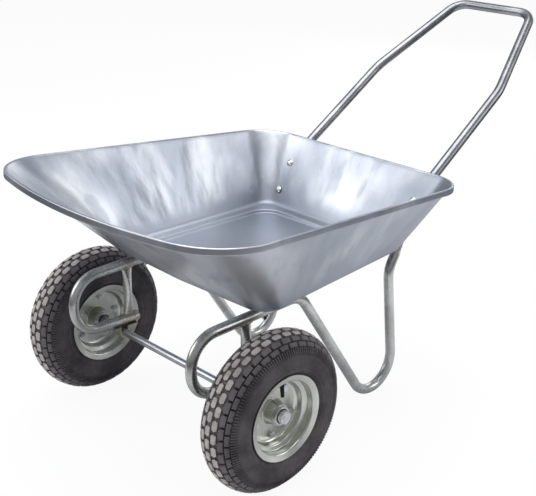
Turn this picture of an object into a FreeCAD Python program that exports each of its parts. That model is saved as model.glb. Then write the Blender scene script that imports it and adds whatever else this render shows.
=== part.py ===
"""Two-wheeled garden wheelbarrow: pressed tray, bent tube frame, U handle, pneumatic wheels.

Frame of the model: +Z up, ground at Z = 0, X across, -Y towards the nose of the tray and
+Y towards the push handle.  The origin is on the ground under the middle of the length.
Left is +X, as seen by someone who pushes it.  Sizes along Y are taken from the axle line.
"""
import FreeCAD, Part
import math
import os
import Sketcher
from FreeCAD import Placement, Rotation, Vector

doc = FreeCAD.newDocument("Wheelbarrow")
sheet = doc.addObject("Spreadsheet::Sheet", "Sizes")
SIDES = (("left", 1), ("right", -1))


# ---------------------------------------------------------------- driving dimensions
def fill_sheet():
    """Every size that can be set by itself has one cell; cells that start with = follow them."""
    groups = {
        "whole barrow": [
            ("overall_length", "1317"),        # nose of the rim to the back of the handle bar
            ("axle_behind_nose", "242"),
            ("wheel_track", "564"),            # between the middle planes of the wheels
            ("tyre_diameter", "330"),
            ("axle_y", "=axle_behind_nose - overall_length / 2"),
            ("axle_height", "=tyre_diameter / 2"),
            ("seat_gap", "0.1"),               # between pieces that are bolted or welded together
            ("hole_clearance", "0.3"),         # radial, bolt in its hole
        ],
        "tray": [
            ("sheet_thickness", "1"),
            ("panel_height", "330"),           # underside of the sunk floor panel
            ("panel_depth", "8"),              # how far the panel is sunk below its ledge
            ("ledge_width", "26"),
            ("panel_corner", "50"),
            ("floor_front", "20"),             # walls meet the ledge plane here, from the axle
            ("floor_rear", "469"),
            ("floor_front_half", "241"),
            ("floor_bow_angle", "2"),          # degrees, half of the front edge's bow
            ("floor_rear_half", "210"),
            ("floor_front_corner", "45"),
            ("floor_rear_corner", "36"),
            ("floor_fillet", "18"),
            ("rim_height", "542"),             # rim plane above the axle line
            ("rim_fall", "5.55"),              # degrees, rim plane dips towards the handle
            ("rim_rear", "570"),
            ("rim_front_half", "355"),
            ("rim_rear_half", "302"),
            ("rim_front_corner", "136"),
            ("rim_rear_corner", "92"),
            ("bow_radius", "970"),             # the front edge is slightly bowed
            ("bow_angle", "12.5"),             # degrees, half of the bow
            ("lip_width", "5"),
            ("lip_drop", "13"),
            ("ledge_height", "=panel_height + panel_depth"),
            ("rim_cos", "=cos(rim_fall * 1 deg)"),
            ("bow_rise", "=bow_radius * (1 / cos(bow_angle * 1 deg) - 1)"),
            ("nose_corner", "=axle_behind_nose - lip_drop * sin(rim_fall * 1 deg) + bow_rise"),
            ("front_corner", "=nose_corner - rim_front_half * tan(bow_angle * 1 deg)"),
            ("wall_top", "=rim_height - (rim_rear - lip_width) * tan(rim_fall * 1 deg)"),
            ("wall_pitch", "=atan((wall_top - ledge_height) / (rim_rear - lip_width - floor_rear))"),
            ("wall_cos", "=cos(wall_pitch)"),
            ("wall_sin", "=sin(wall_pitch)"),
        ],
        "frame tubes": [
            ("tube_diameter", "22"),
            ("tube_wall", "1.5"),
            ("frame_half", "188"),             # tube plane from the middle
            ("loop_reach", "117"),
            ("loop_radius", "60"),
            ("lower_run_rear", "45"),
            ("lower_run_height", "187"),
            ("lower_run_rise", "8"),
            ("leg_top", "173"),
            ("leg_top_radius", "55"),
            ("foot_y", "408"),
            ("foot_radius", "65"),
            ("rear_bend_height", "286"),
            ("rear_bend_radius", "60"),
            ("flattening", "32"),              # length over which a round tube is pressed flat
            ("pressed_step", "0.3"),           # from the pressed oval to the full tab
            ("tube_radius", "=tube_diameter / 2"),
            ("tab_thickness", "=2 * tube_wall"),
            ("tab_width", "=pi * (tube_diameter - tube_wall) / 2"),
            ("upper_run_height", "=panel_height - tube_radius - seat_gap"),
            ("foot_centre", "=foot_radius + tube_radius"),
        ],
        "bolts on the rear wall": [
            ("lower_bolt_up", "37"),           # up the wall from the ledge plane
            ("upper_bolt_up", "108"),
            ("tab_end", "16"),                 # metal past the last hole
            ("handle_tab_far", "=2 * seat_gap + tab_thickness"),
            ("leg_tab_near", "=handle_tab_far"),
            ("leg_line", "=leg_tab_near + tube_radius"),
            ("rear_bend_drop", "=ledge_height - rear_bend_height"),
            ("rear_bend_y", "=floor_rear + leg_line / wall_sin - rear_bend_drop / tan(wall_pitch)"),
            ("foot_dy_front", "=foot_y - leg_top"),
            ("foot_dz_front", "=upper_run_height - foot_centre"),
            ("foot_reach_front", "=sqrt(foot_dy_front ^ 2 + foot_dz_front ^ 2)"),
            ("leg_angle", "=atan(foot_dz_front / foot_dy_front) + asin(foot_radius / foot_reach_front)"),
            ("foot_dy_rear", "=rear_bend_y - foot_y"),
            ("foot_dz_rear", "=rear_bend_height - foot_centre"),
            ("foot_reach_rear", "=sqrt(foot_dy_rear ^ 2 + foot_dz_rear ^ 2)"),
            ("rear_lean", "=asin(foot_radius / foot_reach_rear) - atan(foot_dy_rear / foot_dz_rear)"),
            ("leg_level", "=(rear_bend_y - leg_top) * cos(rear_lean)"),
            ("leg_rise", "=(rear_bend_height - upper_run_height) * sin(rear_lean)"),
            ("leg_run", "=(leg_level + leg_rise) / cos(leg_angle + rear_lean)"),
            ("foot_corner_y", "=leg_top + leg_run * cos(leg_angle)"),
            ("foot_corner_z", "=upper_run_height - leg_run * sin(leg_angle)"),
        ],
        "braces and axle brackets": [
            ("brace_diameter", "20"),
            ("brace_y", "23"),
            ("brace_foot", "33"),              # width of its flattened ends
            ("brace_foot_thickness", "7"),
            ("bracket_width", "26"),
            ("bracket_thickness", "4"),
            ("bracket_front", "26"),
            ("bracket_rear", "36"),
        ],
        "push handle": [
            ("handle_pitch", "31.5"),          # degrees
            ("handle_bend_half", "182"),
            ("handle_bend_run", "264"),        # up the arm from the rim to its bend
            ("handle_rim_y", "612"),           # arms cross behind the rim here
            ("handle_rim_z", "479"),
            ("handle_corner_half", "110"),
            ("handle_bend_radius", "150"),
            ("handle_corner_radius", "45"),
            ("handle_strip", "16"),            # flat strip above the kink
            ("arm_straight", "14"),            # parallel stretch of each arm above its pressed end
            ("arm_turn_radius", "200"),
            ("pressed_out", "=tube_radius - tab_thickness / 2"),
            ("tab_middle", "=seat_gap + tab_thickness / 2"),
            ("arm_cos", "=cos(handle_pitch * 1 deg)"),
            ("arm_sin", "=sin(handle_pitch * 1 deg)"),
            ("kink_dy", "=handle_rim_y - pressed_out * arm_sin - floor_rear - tab_middle * wall_sin"),
            ("kink_dz", "=handle_rim_z + pressed_out * arm_cos - ledge_height + tab_middle * wall_cos"),
            ("kink_turn", "=wall_pitch - handle_pitch * 1 deg"),
            ("kink_up", "=(kink_dz * arm_cos - kink_dy * arm_sin) / sin(kink_turn)"),
            ("kink_run", "=(kink_dy - kink_up * wall_cos) / arm_cos"),
            ("arm_end_run", "=kink_run - handle_strip - flattening"),
            ("handle_bar_y", "=overall_length - axle_behind_nose - tube_radius"),
            ("handle_bar_run", "=(handle_bar_y - handle_rim_y) / arm_cos"),
        ],
        "axle and bearings": [
            ("axle_diameter", "16"),
            ("running_clearance", "0.05"),
            ("hub_length", "58"),
            ("hub_end_radius", "19.5"),
            ("hub_base_radius", "23"),
            ("bearing_outer", "35"),
            ("bearing_width", "11"),
            ("race_thickness", "2.6"),
            ("ball_diameter", "4.4"),
            ("ball_clearance", "0.3"),
            ("ball_count", "8"),
            ("sleeve_wall", "3"),
            ("washer_thickness", "2"),
            ("washer_diameter", "26"),
            ("axle_nut_flats", "24"),
            ("axle_nut_height", "8"),
            ("axle_overhang", "1"),            # thread past the nut
            ("ball_pitch", "=(axle_diameter / 2 + bearing_outer / 2) / 2"),
        ],
        "rim and tyre": [
            ("rim_sheet", "1.8"),
            ("well_radius", "67"),
            ("well_half", "17"),
            ("well_step", "4"),
            ("seat_radius", "76.2"),
            ("seat_half", "36.5"),
            ("rim_lip_radius", "88"),
            ("rim_lip_half", "43"),
            ("dish_fillet", "8"),
            ("boss_height", "23"),
            ("bead_gap", "0.2"),
            ("rim_bolt_circle", "100"),
            ("rim_bolt_count", "5"),
            ("tyre_half", "45.5"),
            ("tyre_wall", "5"),
            ("tread_thickness", "9"),
            ("bulge_radius", "122"),
            ("shoulder_radius", "157"),
            ("shoulder_half", "36"),
            ("crown_half", "14"),
            ("bead_toe", "22"),
            ("tube_above_well", "5"),
            ("valve_foot", "9.5"),
            ("valve_bore", "2.5"),
            ("tube_skin", "1.5"),
            ("tube_gap", "0.4"),
            ("valve_diameter", "8"),
            ("valve_tilt", "20"),              # degrees, outwards from the radius
            ("valve_length", "35"),
            ("valve_axial", "8"),              # where the valve goes through the well, from the middle
            ("cap_length", "11"),
            ("valve_angle_left", "73"),        # degrees from +Y towards +Z
            ("valve_angle_right", "40"),
            ("rim_bolt_lag_left", "49"),       # degrees from the valve to the next bolt
            ("rim_bolt_lag_right", "36"),
        ],
        "fasteners": [
            ("wall_bolt", "6"),
            ("wall_bolt_head", "16"),
            ("wall_bolt_dome", "3.6"),
            ("wall_nut_flats", "10"),
            ("wall_nut_height", "5"),
            ("wall_washer", "16"),
            ("wall_washer_thickness", "1.4"),
            ("corner_stand", "2.2"),           # lower heads bridge the start of the tray's corner
            ("bolt_overhang", "4"),
            ("floor_bolt_y", "74"),
            ("rim_bolt", "8"),
            ("rim_bolt_head", "13"),
            ("rim_bolt_head_height", "5.3"),
            ("rim_nut_height", "6.5"),
        ],
    }
    row = 1
    for group, cells in groups.items():
        sheet.set(f"A{row}", group)
        row += 1
        for alias, content in cells:
            sheet.set(f"A{row}", alias)
            sheet.set(f"B{row}", content)
            sheet.setAlias(f"B{row}", alias)
            row += 1
    doc.recompute()


def number(expression):
    """The value that an expression on the sheet has now."""
    result = sheet.evalExpression(expression)
    return float(getattr(result, "Value", result))


def size(alias):
    return number("Sizes." + alias)


# ---------------------------------------------------------------- sketches and features
def origin_part(body, role):
    """One of a body's own origin planes or axes."""
    return next(item for item in body.Origin.OriginFeatures if item.Role == role)


def new_body(label):
    body = doc.addObject("PartDesign::Body", label)
    body.Label = label
    body.AllowCompound = True
    return body


def new_sketch(body, name, role, at=("0", "0", "0"), turn=None):
    """A sketch on an origin plane, moved by `at` and turned by `turn` = (axis, angle) within it."""
    sketch = body.newObject("Sketcher::SketchObject", name)
    sketch.AttachmentSupport = (origin_part(body, role), [""])
    sketch.MapMode = "FlatFace"
    axis, angle = turn or (Vector(0, 0, 1), "0")
    sketch.AttachmentOffset = Placement(Vector(), Rotation(axis, number(angle) or 0.001))
    for letter, expression in zip("xyz", at):
        if expression != "0":
            sketch.setExpression("AttachmentOffset.Base." + letter, expression)
    if angle == "0":
        sketch.AttachmentOffset = Placement(sketch.AttachmentOffset.Base, Rotation())
    else:
        sketch.setExpression("AttachmentOffset.Rotation.Angle", angle)
    return sketch


def bind(sketch, kind, geometry, expression):
    """A dimension of a sketch that follows the sheet."""
    constraint = sketch.addConstraint(Sketcher.Constraint(kind, *geometry, number(expression)))
    sketch.setExpression(f"Constraints[{constraint}]", expression)


def draw_circle(sketch, radius, x="0", y="0"):
    middle = Vector(number(x), number(y), 0)
    circle = sketch.addGeometry(Part.Circle(middle, Vector(0, 0, 1), number(radius)))
    bind(sketch, "Radius", (circle,), radius)
    if (x, y) == ("0", "0"):
        sketch.addConstraint(Sketcher.Constraint("Coincident", circle, 3, -1, 1))
    else:
        bind(sketch, "DistanceX", (-1, 1, circle, 3), x)
        bind(sketch, "DistanceY", (-1, 1, circle, 3), y)


def draw_outline(sketch, corners, closed=True):
    """Straight sides through corners (x, y, radius); a radius other than "0" rounds the corner."""
    points = [Vector(number(x), number(y), 0) for x, y, _ in corners]
    count = len(corners)
    inner = range(count) if closed else range(1, count - 1)
    arrive = list(points)
    leave = list(points)
    arcs = {}
    for index in inner:
        if corners[index][2] == "0":
            continue
        here = points[index]
        back = (points[index - 1] - here).normalize()
        ahead = (points[(index + 1) % count] - here).normalize()
        radius = number(corners[index][2])
        half = back.getAngle(ahead) / 2
        arrive[index] = here + back * (radius / math.tan(half))
        leave[index] = here + ahead * (radius / math.tan(half))
        centre = here + (back + ahead).normalize() * (radius / math.sin(half))
        turns_left = back.cross(ahead).z < 0
        first, last = (arrive[index], leave[index]) if turns_left else (leave[index], arrive[index])
        start = math.atan2(first.y - centre.y, first.x - centre.x)
        finish = math.atan2(last.y - centre.y, last.x - centre.x)
        arc = Part.ArcOfCircle(Part.Circle(centre, Vector(0, 0, 1), radius), start, finish)
        arcs[index] = (sketch.addGeometry(arc), 1 if turns_left else 2)
    sides = {}
    for index in range(count if closed else count - 1):
        side = Part.LineSegment(leave[index], arrive[(index + 1) % count])
        sides[index] = sketch.addGeometry(side)
    for index, (x, y, radius) in enumerate(corners):
        before = sides.get((index - 1) % count) if closed or index > 0 else None
        after = sides.get(index)
        if index in arcs:
            arc, entry = arcs[index]
            sketch.addConstraint(Sketcher.Constraint("Tangent", before, 2, arc, entry))
            sketch.addConstraint(Sketcher.Constraint("Tangent", arc, 3 - entry, after, 1))
            bind(sketch, "Radius", (arc,), radius)
            corner = sketch.addGeometry(Part.Point(points[index]), True)
            sketch.addConstraint(Sketcher.Constraint("PointOnObject", corner, 1, before))
            sketch.addConstraint(Sketcher.Constraint("PointOnObject", corner, 1, after))
            vertex = (corner, 1)
        elif before is None:
            vertex = (after, 1)
        else:
            vertex = (before, 2)
            if after is not None:
                sketch.addConstraint(Sketcher.Constraint("Coincident", before, 2, after, 1))
        bind(sketch, "DistanceX", (-1, 1, *vertex), x)
        bind(sketch, "DistanceY", (-1, 1, *vertex), y)


def mirrored_outline(half):
    """A closed outline from its +x half, whose first and last corners may lie on the axis x = 0."""
    other = [(f"-({x})", y, radius) for x, y, radius in reversed(half) if x != "0"]
    return list(half) + other


def edges_of(sketch):
    doc.recompute()
    return [f"Edge{number_of}" for number_of in range(1, len(sketch.Shape.Edges) + 1)]


def add(body, kind, name, sketch, **settings):
    """A PartDesign feature on a sketch; settings that are text are expressions."""
    feature = body.newObject("PartDesign::" + kind, name)
    feature.Profile = sketch
    for key, setting in settings.items():
        if isinstance(setting, str) and key != "Type":
            feature.setExpression(key, setting)
        else:
            setattr(feature, key, setting)
    doc.recompute()
    return feature


def revolve(body, name, sketch):
    return add(body, "Revolution", name, sketch, ReferenceAxis=(sketch, ["V_Axis"]), Angle=360)


def groove(body, name, sketch):
    return add(body, "Groove", name, sketch, ReferenceAxis=(sketch, ["V_Axis"]), Angle=360)


def loft(body, name, sketches, kind="AdditiveLoft", ruled=True):
    return add(body, kind, name, sketches[0], Sections=sketches[1:], Ruled=ruled)


def pipe_along(body, name, spine, radius, kind="AdditivePipe"):
    """A round section carried along a spine sketch."""
    edges = edges_of(spine)
    profile = body.newObject("Sketcher::SketchObject", name + "_section")
    profile.AttachmentSupport = (spine, ["Edge1"])
    profile.MapMode = "NormalToEdge"
    draw_circle(profile, radius)
    doc.recompute()
    return add(body, kind, name, profile, Spine=(spine, edges))


def mirror(body, name, features, role="YZ_Plane"):
    feature = body.newObject("PartDesign::Mirrored", name)
    feature.Originals = features
    feature.MirrorPlane = (origin_part(body, role), [""])
    body.Tip = feature
    doc.recompute()
    return feature


def spread_round(body, name, features, count):
    feature = body.newObject("PartDesign::PolarPattern", name)
    feature.Originals = features
    feature.Axis = (origin_part(body, "Z_Axis"), [""])
    feature.Angle = 360
    feature.setExpression("Occurrences", count)
    body.Tip = feature
    doc.recompute()
    return feature


def on_axle_line(body):
    body.setExpression("Placement.Base.y", "Sizes.axle_y")


# ---------------------------------------------------------------- shared expressions
ZERO = "0 * Sizes.seat_gap"
TIP_RADIUS = "(Sizes.valve_diameter / 2 - 1.3)"
AXLE_WASHER = "(Sizes.wheel_track / 2 + Sizes.hub_length / 2 + Sizes.seat_gap)"
AXLE_STACK = "Sizes.washer_thickness + Sizes.seat_gap + Sizes.axle_nut_height + Sizes.axle_overhang"
AXLE_HALF = f"({AXLE_WASHER} + {AXLE_STACK})"
PRESSED_OVAL = (
    "Sizes.tab_width / 2 - Sizes.pressed_step",
    "(Sizes.tab_thickness - Sizes.pressed_step) / 2",
)
LOWER_SLOPE = "atan(Sizes.lower_run_rise / (Sizes.lower_run_rear + Sizes.loop_reach))"


def rise_at(y):
    """How much higher the lower run's line is at y than at its rear end."""
    from_rear = f"(Sizes.lower_run_rear - ({y}))"
    return f"Sizes.lower_run_rise * {from_rear} / (Sizes.lower_run_rear + Sizes.loop_reach)"


# ---------------------------------------------------------------- tray
def rim_outline(inset):
    """Corners of the rim in its own plane, drawn in by `inset`."""
    return mirrored_outline([
        ("0", f"({inset} - Sizes.nose_corner) / Sizes.rim_cos", f"Sizes.bow_radius - {inset}"),
        (f"Sizes.rim_front_half - {inset}", f"({inset} - Sizes.front_corner) / Sizes.rim_cos",
         f"Sizes.rim_front_corner - {inset}"),
        (f"Sizes.rim_rear_half - {inset}", f"(Sizes.rim_rear - {inset}) / Sizes.rim_cos",
         f"Sizes.rim_rear_corner - {inset}"),
    ])


def floor_outline(inset):
    """Corners of the foot of the walls in the ledge plane, drawn in by `inset`."""
    return mirrored_outline([
        ("0", f"Sizes.floor_front + {inset}", f"Sizes.bow_radius - {inset}"),
        (f"Sizes.floor_front_half - {inset}",
         f"Sizes.floor_front + {inset} + Sizes.floor_front_half * tan(Sizes.floor_bow_angle * 1 deg)",
         f"Sizes.floor_front_corner - {inset}"),
        (f"Sizes.floor_rear_half - {inset}", f"Sizes.floor_rear - {inset}",
         f"Sizes.floor_rear_corner - {inset}"),
    ])


def flat_edges(shape, height, shortest=20, tolerance=0.05):
    """Names of a shape's longer edges that lie flat at a height."""
    found = []
    for position, edge in enumerate(shape.Edges, 1):
        box = edge.BoundBox
        flat = abs(box.ZMin - height) < tolerance and abs(box.ZMax - height) < tolerance
        if flat and edge.Length > shortest:
            found.append(f"Edge{position}")
    return found


def short_edges(shape, length, below):
    """Names of the straight edges of one length whose middle is lower than a height."""
    found = []
    for position, edge in enumerate(shape.Edges, 1):
        if abs(edge.Length - length) < 0.01 and edge.CenterOfMass.z < below:
            found.append(f"Edge{position}")
    return found


def round_edges(body, name, base, edges, radius):
    feature = body.newObject("PartDesign::Fillet", name)
    feature.Base = (base, edges)
    feature.setExpression("Radius", radius)
    doc.recompute()
    return feature


def drill(body, name, sketch, depth="40"):
    """Holes through everything within `depth` of the sketch, both ways."""
    return add(body, "Pocket", name, sketch, Midplane=True, Length=depth)


def wall_sketch(body, name, out="0"):
    """A sketch on the rear wall's outer face at the ledge plane, moved outwards by `out`."""
    y = f"Sizes.floor_rear + ({out}) * Sizes.wall_sin"
    z = f"Sizes.ledge_height - ({out}) * Sizes.wall_cos"
    return new_sketch(body, name, "XY_Plane", ("0", y, z), (Vector(1, 0, 0), "Sizes.wall_pitch"))


def draw_wall_holes(sketch, radius, ups, half="Sizes.frame_half"):
    for up in ups:
        for sign in ("", "-"):
            draw_circle(sketch, radius, f"{sign}{half}", up)


WALL_HOLE = "Sizes.wall_bolt / 2 + Sizes.hole_clearance"


def make_tray():
    """Deep-drawn tray: walls from the ledge to a tilted rim, sunk floor panel, turned-down lip."""
    body = new_body("tray")
    fall = (Vector(1, 0, 0), "-Sizes.rim_fall")
    skin = "Sizes.sheet_thickness"

    lip = new_sketch(body, "lip_plan", "XY_Plane", ("0", "0", "Sizes.rim_height"), fall)
    draw_outline(lip, rim_outline("0 * " + skin))
    add(body, "Pad", "lip", lip, Length="Sizes.lip_drop", Reversed=True)
    gutter = new_sketch(body, "gutter_plan", "XY_Plane", ("0", "0", f"Sizes.rim_height - {skin}"), fall)
    draw_outline(gutter, rim_outline(skin))
    add(body, "Pocket", "gutter", gutter, Length="Sizes.lip_drop * 2")

    def wall_sections(tag, inset, lift):
        foot = new_sketch(body, tag + "_foot", "XY_Plane", ("0", "0", f"Sizes.ledge_height + {lift}"))
        draw_outline(foot, floor_outline(inset))
        top = new_sketch(body, tag + "_top", "XY_Plane", ("0", "0", f"Sizes.rim_height + {lift}"), fall)
        draw_outline(top, rim_outline(f"(Sizes.lip_width + {inset})"))
        return [foot, top]

    loft(body, "walls", wall_sections("outside", f"0 * {skin}", f"0 * {skin}"))
    hollow = loft(body, "hollow", wall_sections("inside", f"0.6 * {skin}", skin), "SubtractiveLoft")
    outer_foot = flat_edges(hollow.Shape, size("ledge_height"))
    rounded = round_edges(body, "foot_outside", hollow, outer_foot, f"Sizes.floor_fillet + {skin}")
    inner_foot = flat_edges(rounded.Shape, size("ledge_height") + size("sheet_thickness"))
    round_edges(body, "foot_inside", rounded, inner_foot, "Sizes.floor_fillet")

    def panel_outline(inset):
        edge = f"(Sizes.ledge_width + {inset})"
        corner = f"Sizes.panel_corner - {inset}"
        return mirrored_outline([
            (f"Sizes.floor_front_half - {edge}", f"Sizes.floor_front + {edge}", corner),
            (f"Sizes.floor_rear_half - {edge}", f"Sizes.floor_rear - {edge}", corner),
        ])

    panel = new_sketch(body, "panel_plan", "XY_Plane", ("0", "0", "Sizes.panel_height"))
    draw_outline(panel, panel_outline(f"0 * {skin}"))
    add(body, "Pad", "panel", panel, Length=f"Sizes.panel_depth + {skin} / 2")
    sunk = new_sketch(body, "sunk_plan", "XY_Plane", ("0", "0", f"Sizes.panel_height + {skin}"))
    draw_outline(sunk, panel_outline(skin))
    add(body, "Pocket", "sunk", sunk, Length=f"Sizes.panel_depth + 5 * {skin}", Reversed=True)

    floor_holes = new_sketch(body, "floor_holes", "XY_Plane", ("0", "0", "Sizes.panel_height"))
    for sign in ("", "-"):
        draw_circle(floor_holes, WALL_HOLE, sign + "Sizes.frame_half", "Sizes.floor_bolt_y")
    drill(body, "floor_bolt_holes", floor_holes, "10")
    wall_holes = wall_sketch(body, "wall_holes")
    draw_wall_holes(wall_holes, WALL_HOLE, ("Sizes.lower_bolt_up", "Sizes.upper_bolt_up"))
    drill(body, "wall_bolt_holes", wall_holes, "10")
    on_axle_line(body)
    return body


# ---------------------------------------------------------------- frame tubes
def frame_plane_placement(body, sign):
    """Left and right frame planes stand upright and parallel."""
    body.setExpression("Placement.Base.x", f"{sign} * Sizes.frame_half")
    on_axle_line(body)


def section_at(body, name, y, z, pitch, out="0"):
    """A sketch square to a run that climbs at `pitch`, its own +y turned `out` from the run's line."""
    at = ("0", f"({y}) - ({out}) * sin({pitch})", f"({z}) + ({out}) * cos({pitch})")
    return new_sketch(body, name, "XY_Plane", at, (Vector(1, 0, 0), f"({pitch}) - 90 deg"))


def draw_oval(sketch, half_wide, half_thick, x="0"):
    """An ellipse for a pressed tube, its ends at +-half_wide along the sketch's x."""
    oval = Part.Ellipse(Vector(number(x), 0, 0), number(half_wide), number(half_thick))
    shape = sketch.addGeometry(oval)
    sketch.exposeInternalGeometry(shape)
    major, minor = shape + 1, shape + 2
    sketch.addConstraint(Sketcher.Constraint("Horizontal", major))
    bind(sketch, "Distance", (major,), f"2 * ({half_wide})")
    bind(sketch, "Distance", (minor,), f"2 * ({half_thick})")
    if x == "0":
        sketch.addConstraint(Sketcher.Constraint("Coincident", shape, 3, -1, 1))
    else:
        bind(sketch, "DistanceX", (-1, 1, shape, 3), x)
        bind(sketch, "DistanceY", (-1, 1, shape, 3), "0 * Sizes.seat_gap")


def side_tube_corners():
    """Centreline in the frame plane: lower run, loop, run under the tray, leg, foot, rear run."""
    return [
        ("Sizes.lower_run_rear", "Sizes.lower_run_height", "0"),
        ("-Sizes.loop_reach", "Sizes.lower_run_height + Sizes.lower_run_rise", "Sizes.loop_radius"),
        ("-Sizes.loop_reach", "Sizes.upper_run_height", "Sizes.loop_radius"),
        ("Sizes.leg_top", "Sizes.upper_run_height", "Sizes.leg_top_radius"),
        ("Sizes.foot_corner_y", "Sizes.foot_corner_z", "Sizes.foot_radius"),
        ("Sizes.rear_bend_y", "Sizes.rear_bend_height", "Sizes.rear_bend_radius"),
        (LEG_END_Y, LEG_END_Z, "0"),
    ]


LEG_END_UP = "(Sizes.lower_bolt_up - Sizes.tab_width / 2 - Sizes.flattening)"
LEG_END_Y = f"Sizes.floor_rear + {LEG_END_UP} * Sizes.wall_cos + Sizes.leg_line * Sizes.wall_sin"
LEG_END_Z = f"Sizes.ledge_height + {LEG_END_UP} * Sizes.wall_sin - Sizes.leg_line * Sizes.wall_cos"


def make_side_tube(side, sign):
    """One bent tube: cradles the axle, loops forward, carries the tray and makes the leg."""
    body = new_body("side_tube_" + side)
    spine = new_sketch(body, "centreline", "YZ_Plane")
    draw_outline(spine, side_tube_corners(), closed=False)
    pipe_along(body, "tube", spine, "Sizes.tube_radius")
    pipe_along(body, "bore", spine, "Sizes.tube_radius - Sizes.tube_wall", "SubtractivePipe")

    pitch = "Sizes.wall_pitch"
    round_end = section_at(body, "round_end", LEG_END_Y, LEG_END_Z, pitch)
    draw_circle(round_end, "Sizes.tube_radius")
    pressed_out = "Sizes.tube_radius - Sizes.tab_thickness / 2"
    pressed = section_at(
        body, "pressed_end", f"{LEG_END_Y} + Sizes.flattening * Sizes.wall_cos",
        f"{LEG_END_Z} + Sizes.flattening * Sizes.wall_sin", pitch, pressed_out)
    draw_oval(pressed, *PRESSED_OVAL)
    loft(body, "flattening", [round_end, pressed], ruled=False)

    tab = wall_sketch(body, "tab_plan", "Sizes.leg_tab_near")
    half = "Sizes.tab_width / 2"
    foot = f"{LEG_END_UP} + Sizes.flattening"
    tip = "Sizes.lower_bolt_up + Sizes.tab_end"
    draw_outline(tab, mirrored_outline([(half, foot, "0"), (half, tip, f"{half} - Sizes.seat_gap")]))
    add(body, "Pad", "tab", tab, Length="Sizes.tab_thickness", Reversed=True)
    hole = wall_sketch(body, "hole_plan")
    draw_circle(hole, WALL_HOLE, "0 * Sizes.seat_gap", "Sizes.lower_bolt_up")
    drill(body, "hole", hole)
    floor_hole = new_sketch(body, "floor_hole_plan", "XY_Plane", ("0", "0", "Sizes.upper_run_height"))
    draw_circle(floor_hole, WALL_HOLE, "0 * Sizes.seat_gap", "Sizes.floor_bolt_y")
    drill(body, "floor_hole", floor_hole)
    frame_plane_placement(body, sign)
    return body


def make_brace(side, sign):
    """Upright between the lower run and the run under the tray, pressed wide at both ends."""
    body = new_body("brace_" + side)
    low = "Sizes.lower_run_height"
    rise = f"({low} + {rise_at('Sizes.brace_y')})"
    high = "Sizes.upper_run_height"
    sections = []
    heights = (low, f"{low} + 0.26 * ({high} - {low})", f"{low} + 0.74 * ({high} - {low})", high)
    for place, height in enumerate(heights):
        at = ("0", "Sizes.brace_y", height)
        section = new_sketch(body, f"section_{place}", "XY_Plane", at, (Vector(0, 0, 1), "90 deg"))
        if place in (0, 3):
            draw_oval(section, "Sizes.brace_foot / 2", "Sizes.brace_foot_thickness / 2")
        else:
            draw_oval(section, "Sizes.brace_diameter / 2 + 0.01", "Sizes.brace_diameter / 2 - 0.01")
        sections.append(section)
    loft(body, "upright", sections, ruled=False)
    level = "0 deg * Sizes.seat_gap"
    for name, height, pitch in (("lower_seat", rise, f"-{LOWER_SLOPE}"), ("upper_seat", high, level)):
        seat = section_at(body, name + "_plan", "Sizes.brace_y", height, pitch)
        draw_circle(seat, "Sizes.tube_radius + Sizes.seat_gap")
        drill(body, name, seat, "80")
    frame_plane_placement(body, sign)
    return body


def make_axle_bracket(side, sign):
    """Hat-shaped strap: cradles the axle from below, its feet welded under the lower run."""
    body = new_body("axle_bracket_" + side)
    thick = "Sizes.bracket_thickness"
    cradle = "(Sizes.axle_diameter / 2 + Sizes.seat_gap)"

    def under_tube(y):
        depth = f"Sizes.tube_radius / cos({LOWER_SLOPE}) + Sizes.seat_gap"
        return f"(Sizes.lower_run_height + {rise_at(y)} - ({depth}))"

    front = under_tube("-Sizes.bracket_front")
    rear = under_tube("Sizes.bracket_rear")
    low = f"(Sizes.axle_height - {cradle})"
    profile = new_sketch(body, "profile", "YZ_Plane")
    draw_outline(profile, [
        ("-Sizes.bracket_front", front, "0"),
        ("-Sizes.bracket_front", f"{front} - {thick}", "0"),
        (f"-{cradle} - {thick}", f"{front} - {thick}", thick + " / 2"),
        (f"-{cradle} - {thick}", f"{low} - {thick}", f"{cradle} + {thick} - 0.2"),
        (f"{cradle} + {thick}", f"{low} - {thick}", f"{cradle} + {thick} - 0.2"),
        (f"{cradle} + {thick}", f"{rear} - {thick}", thick + " / 2"),
        ("Sizes.bracket_rear", f"{rear} - {thick}", "0"),
        ("Sizes.bracket_rear", rear, "0"),
        (cradle, under_tube(cradle), "0"),
        (cradle, low, f"{cradle} - 0.1"),
        (f"-{cradle}", low, f"{cradle} - 0.1"),
        (f"-{cradle}", under_tube("-" + cradle), "0"),
    ])
    add(body, "Pad", "strap", profile, Length="Sizes.bracket_width", Midplane=True)
    body.setExpression("Placement.Base.x", f"{sign} * Sizes.frame_half")
    on_axle_line(body)
    return body


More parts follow.
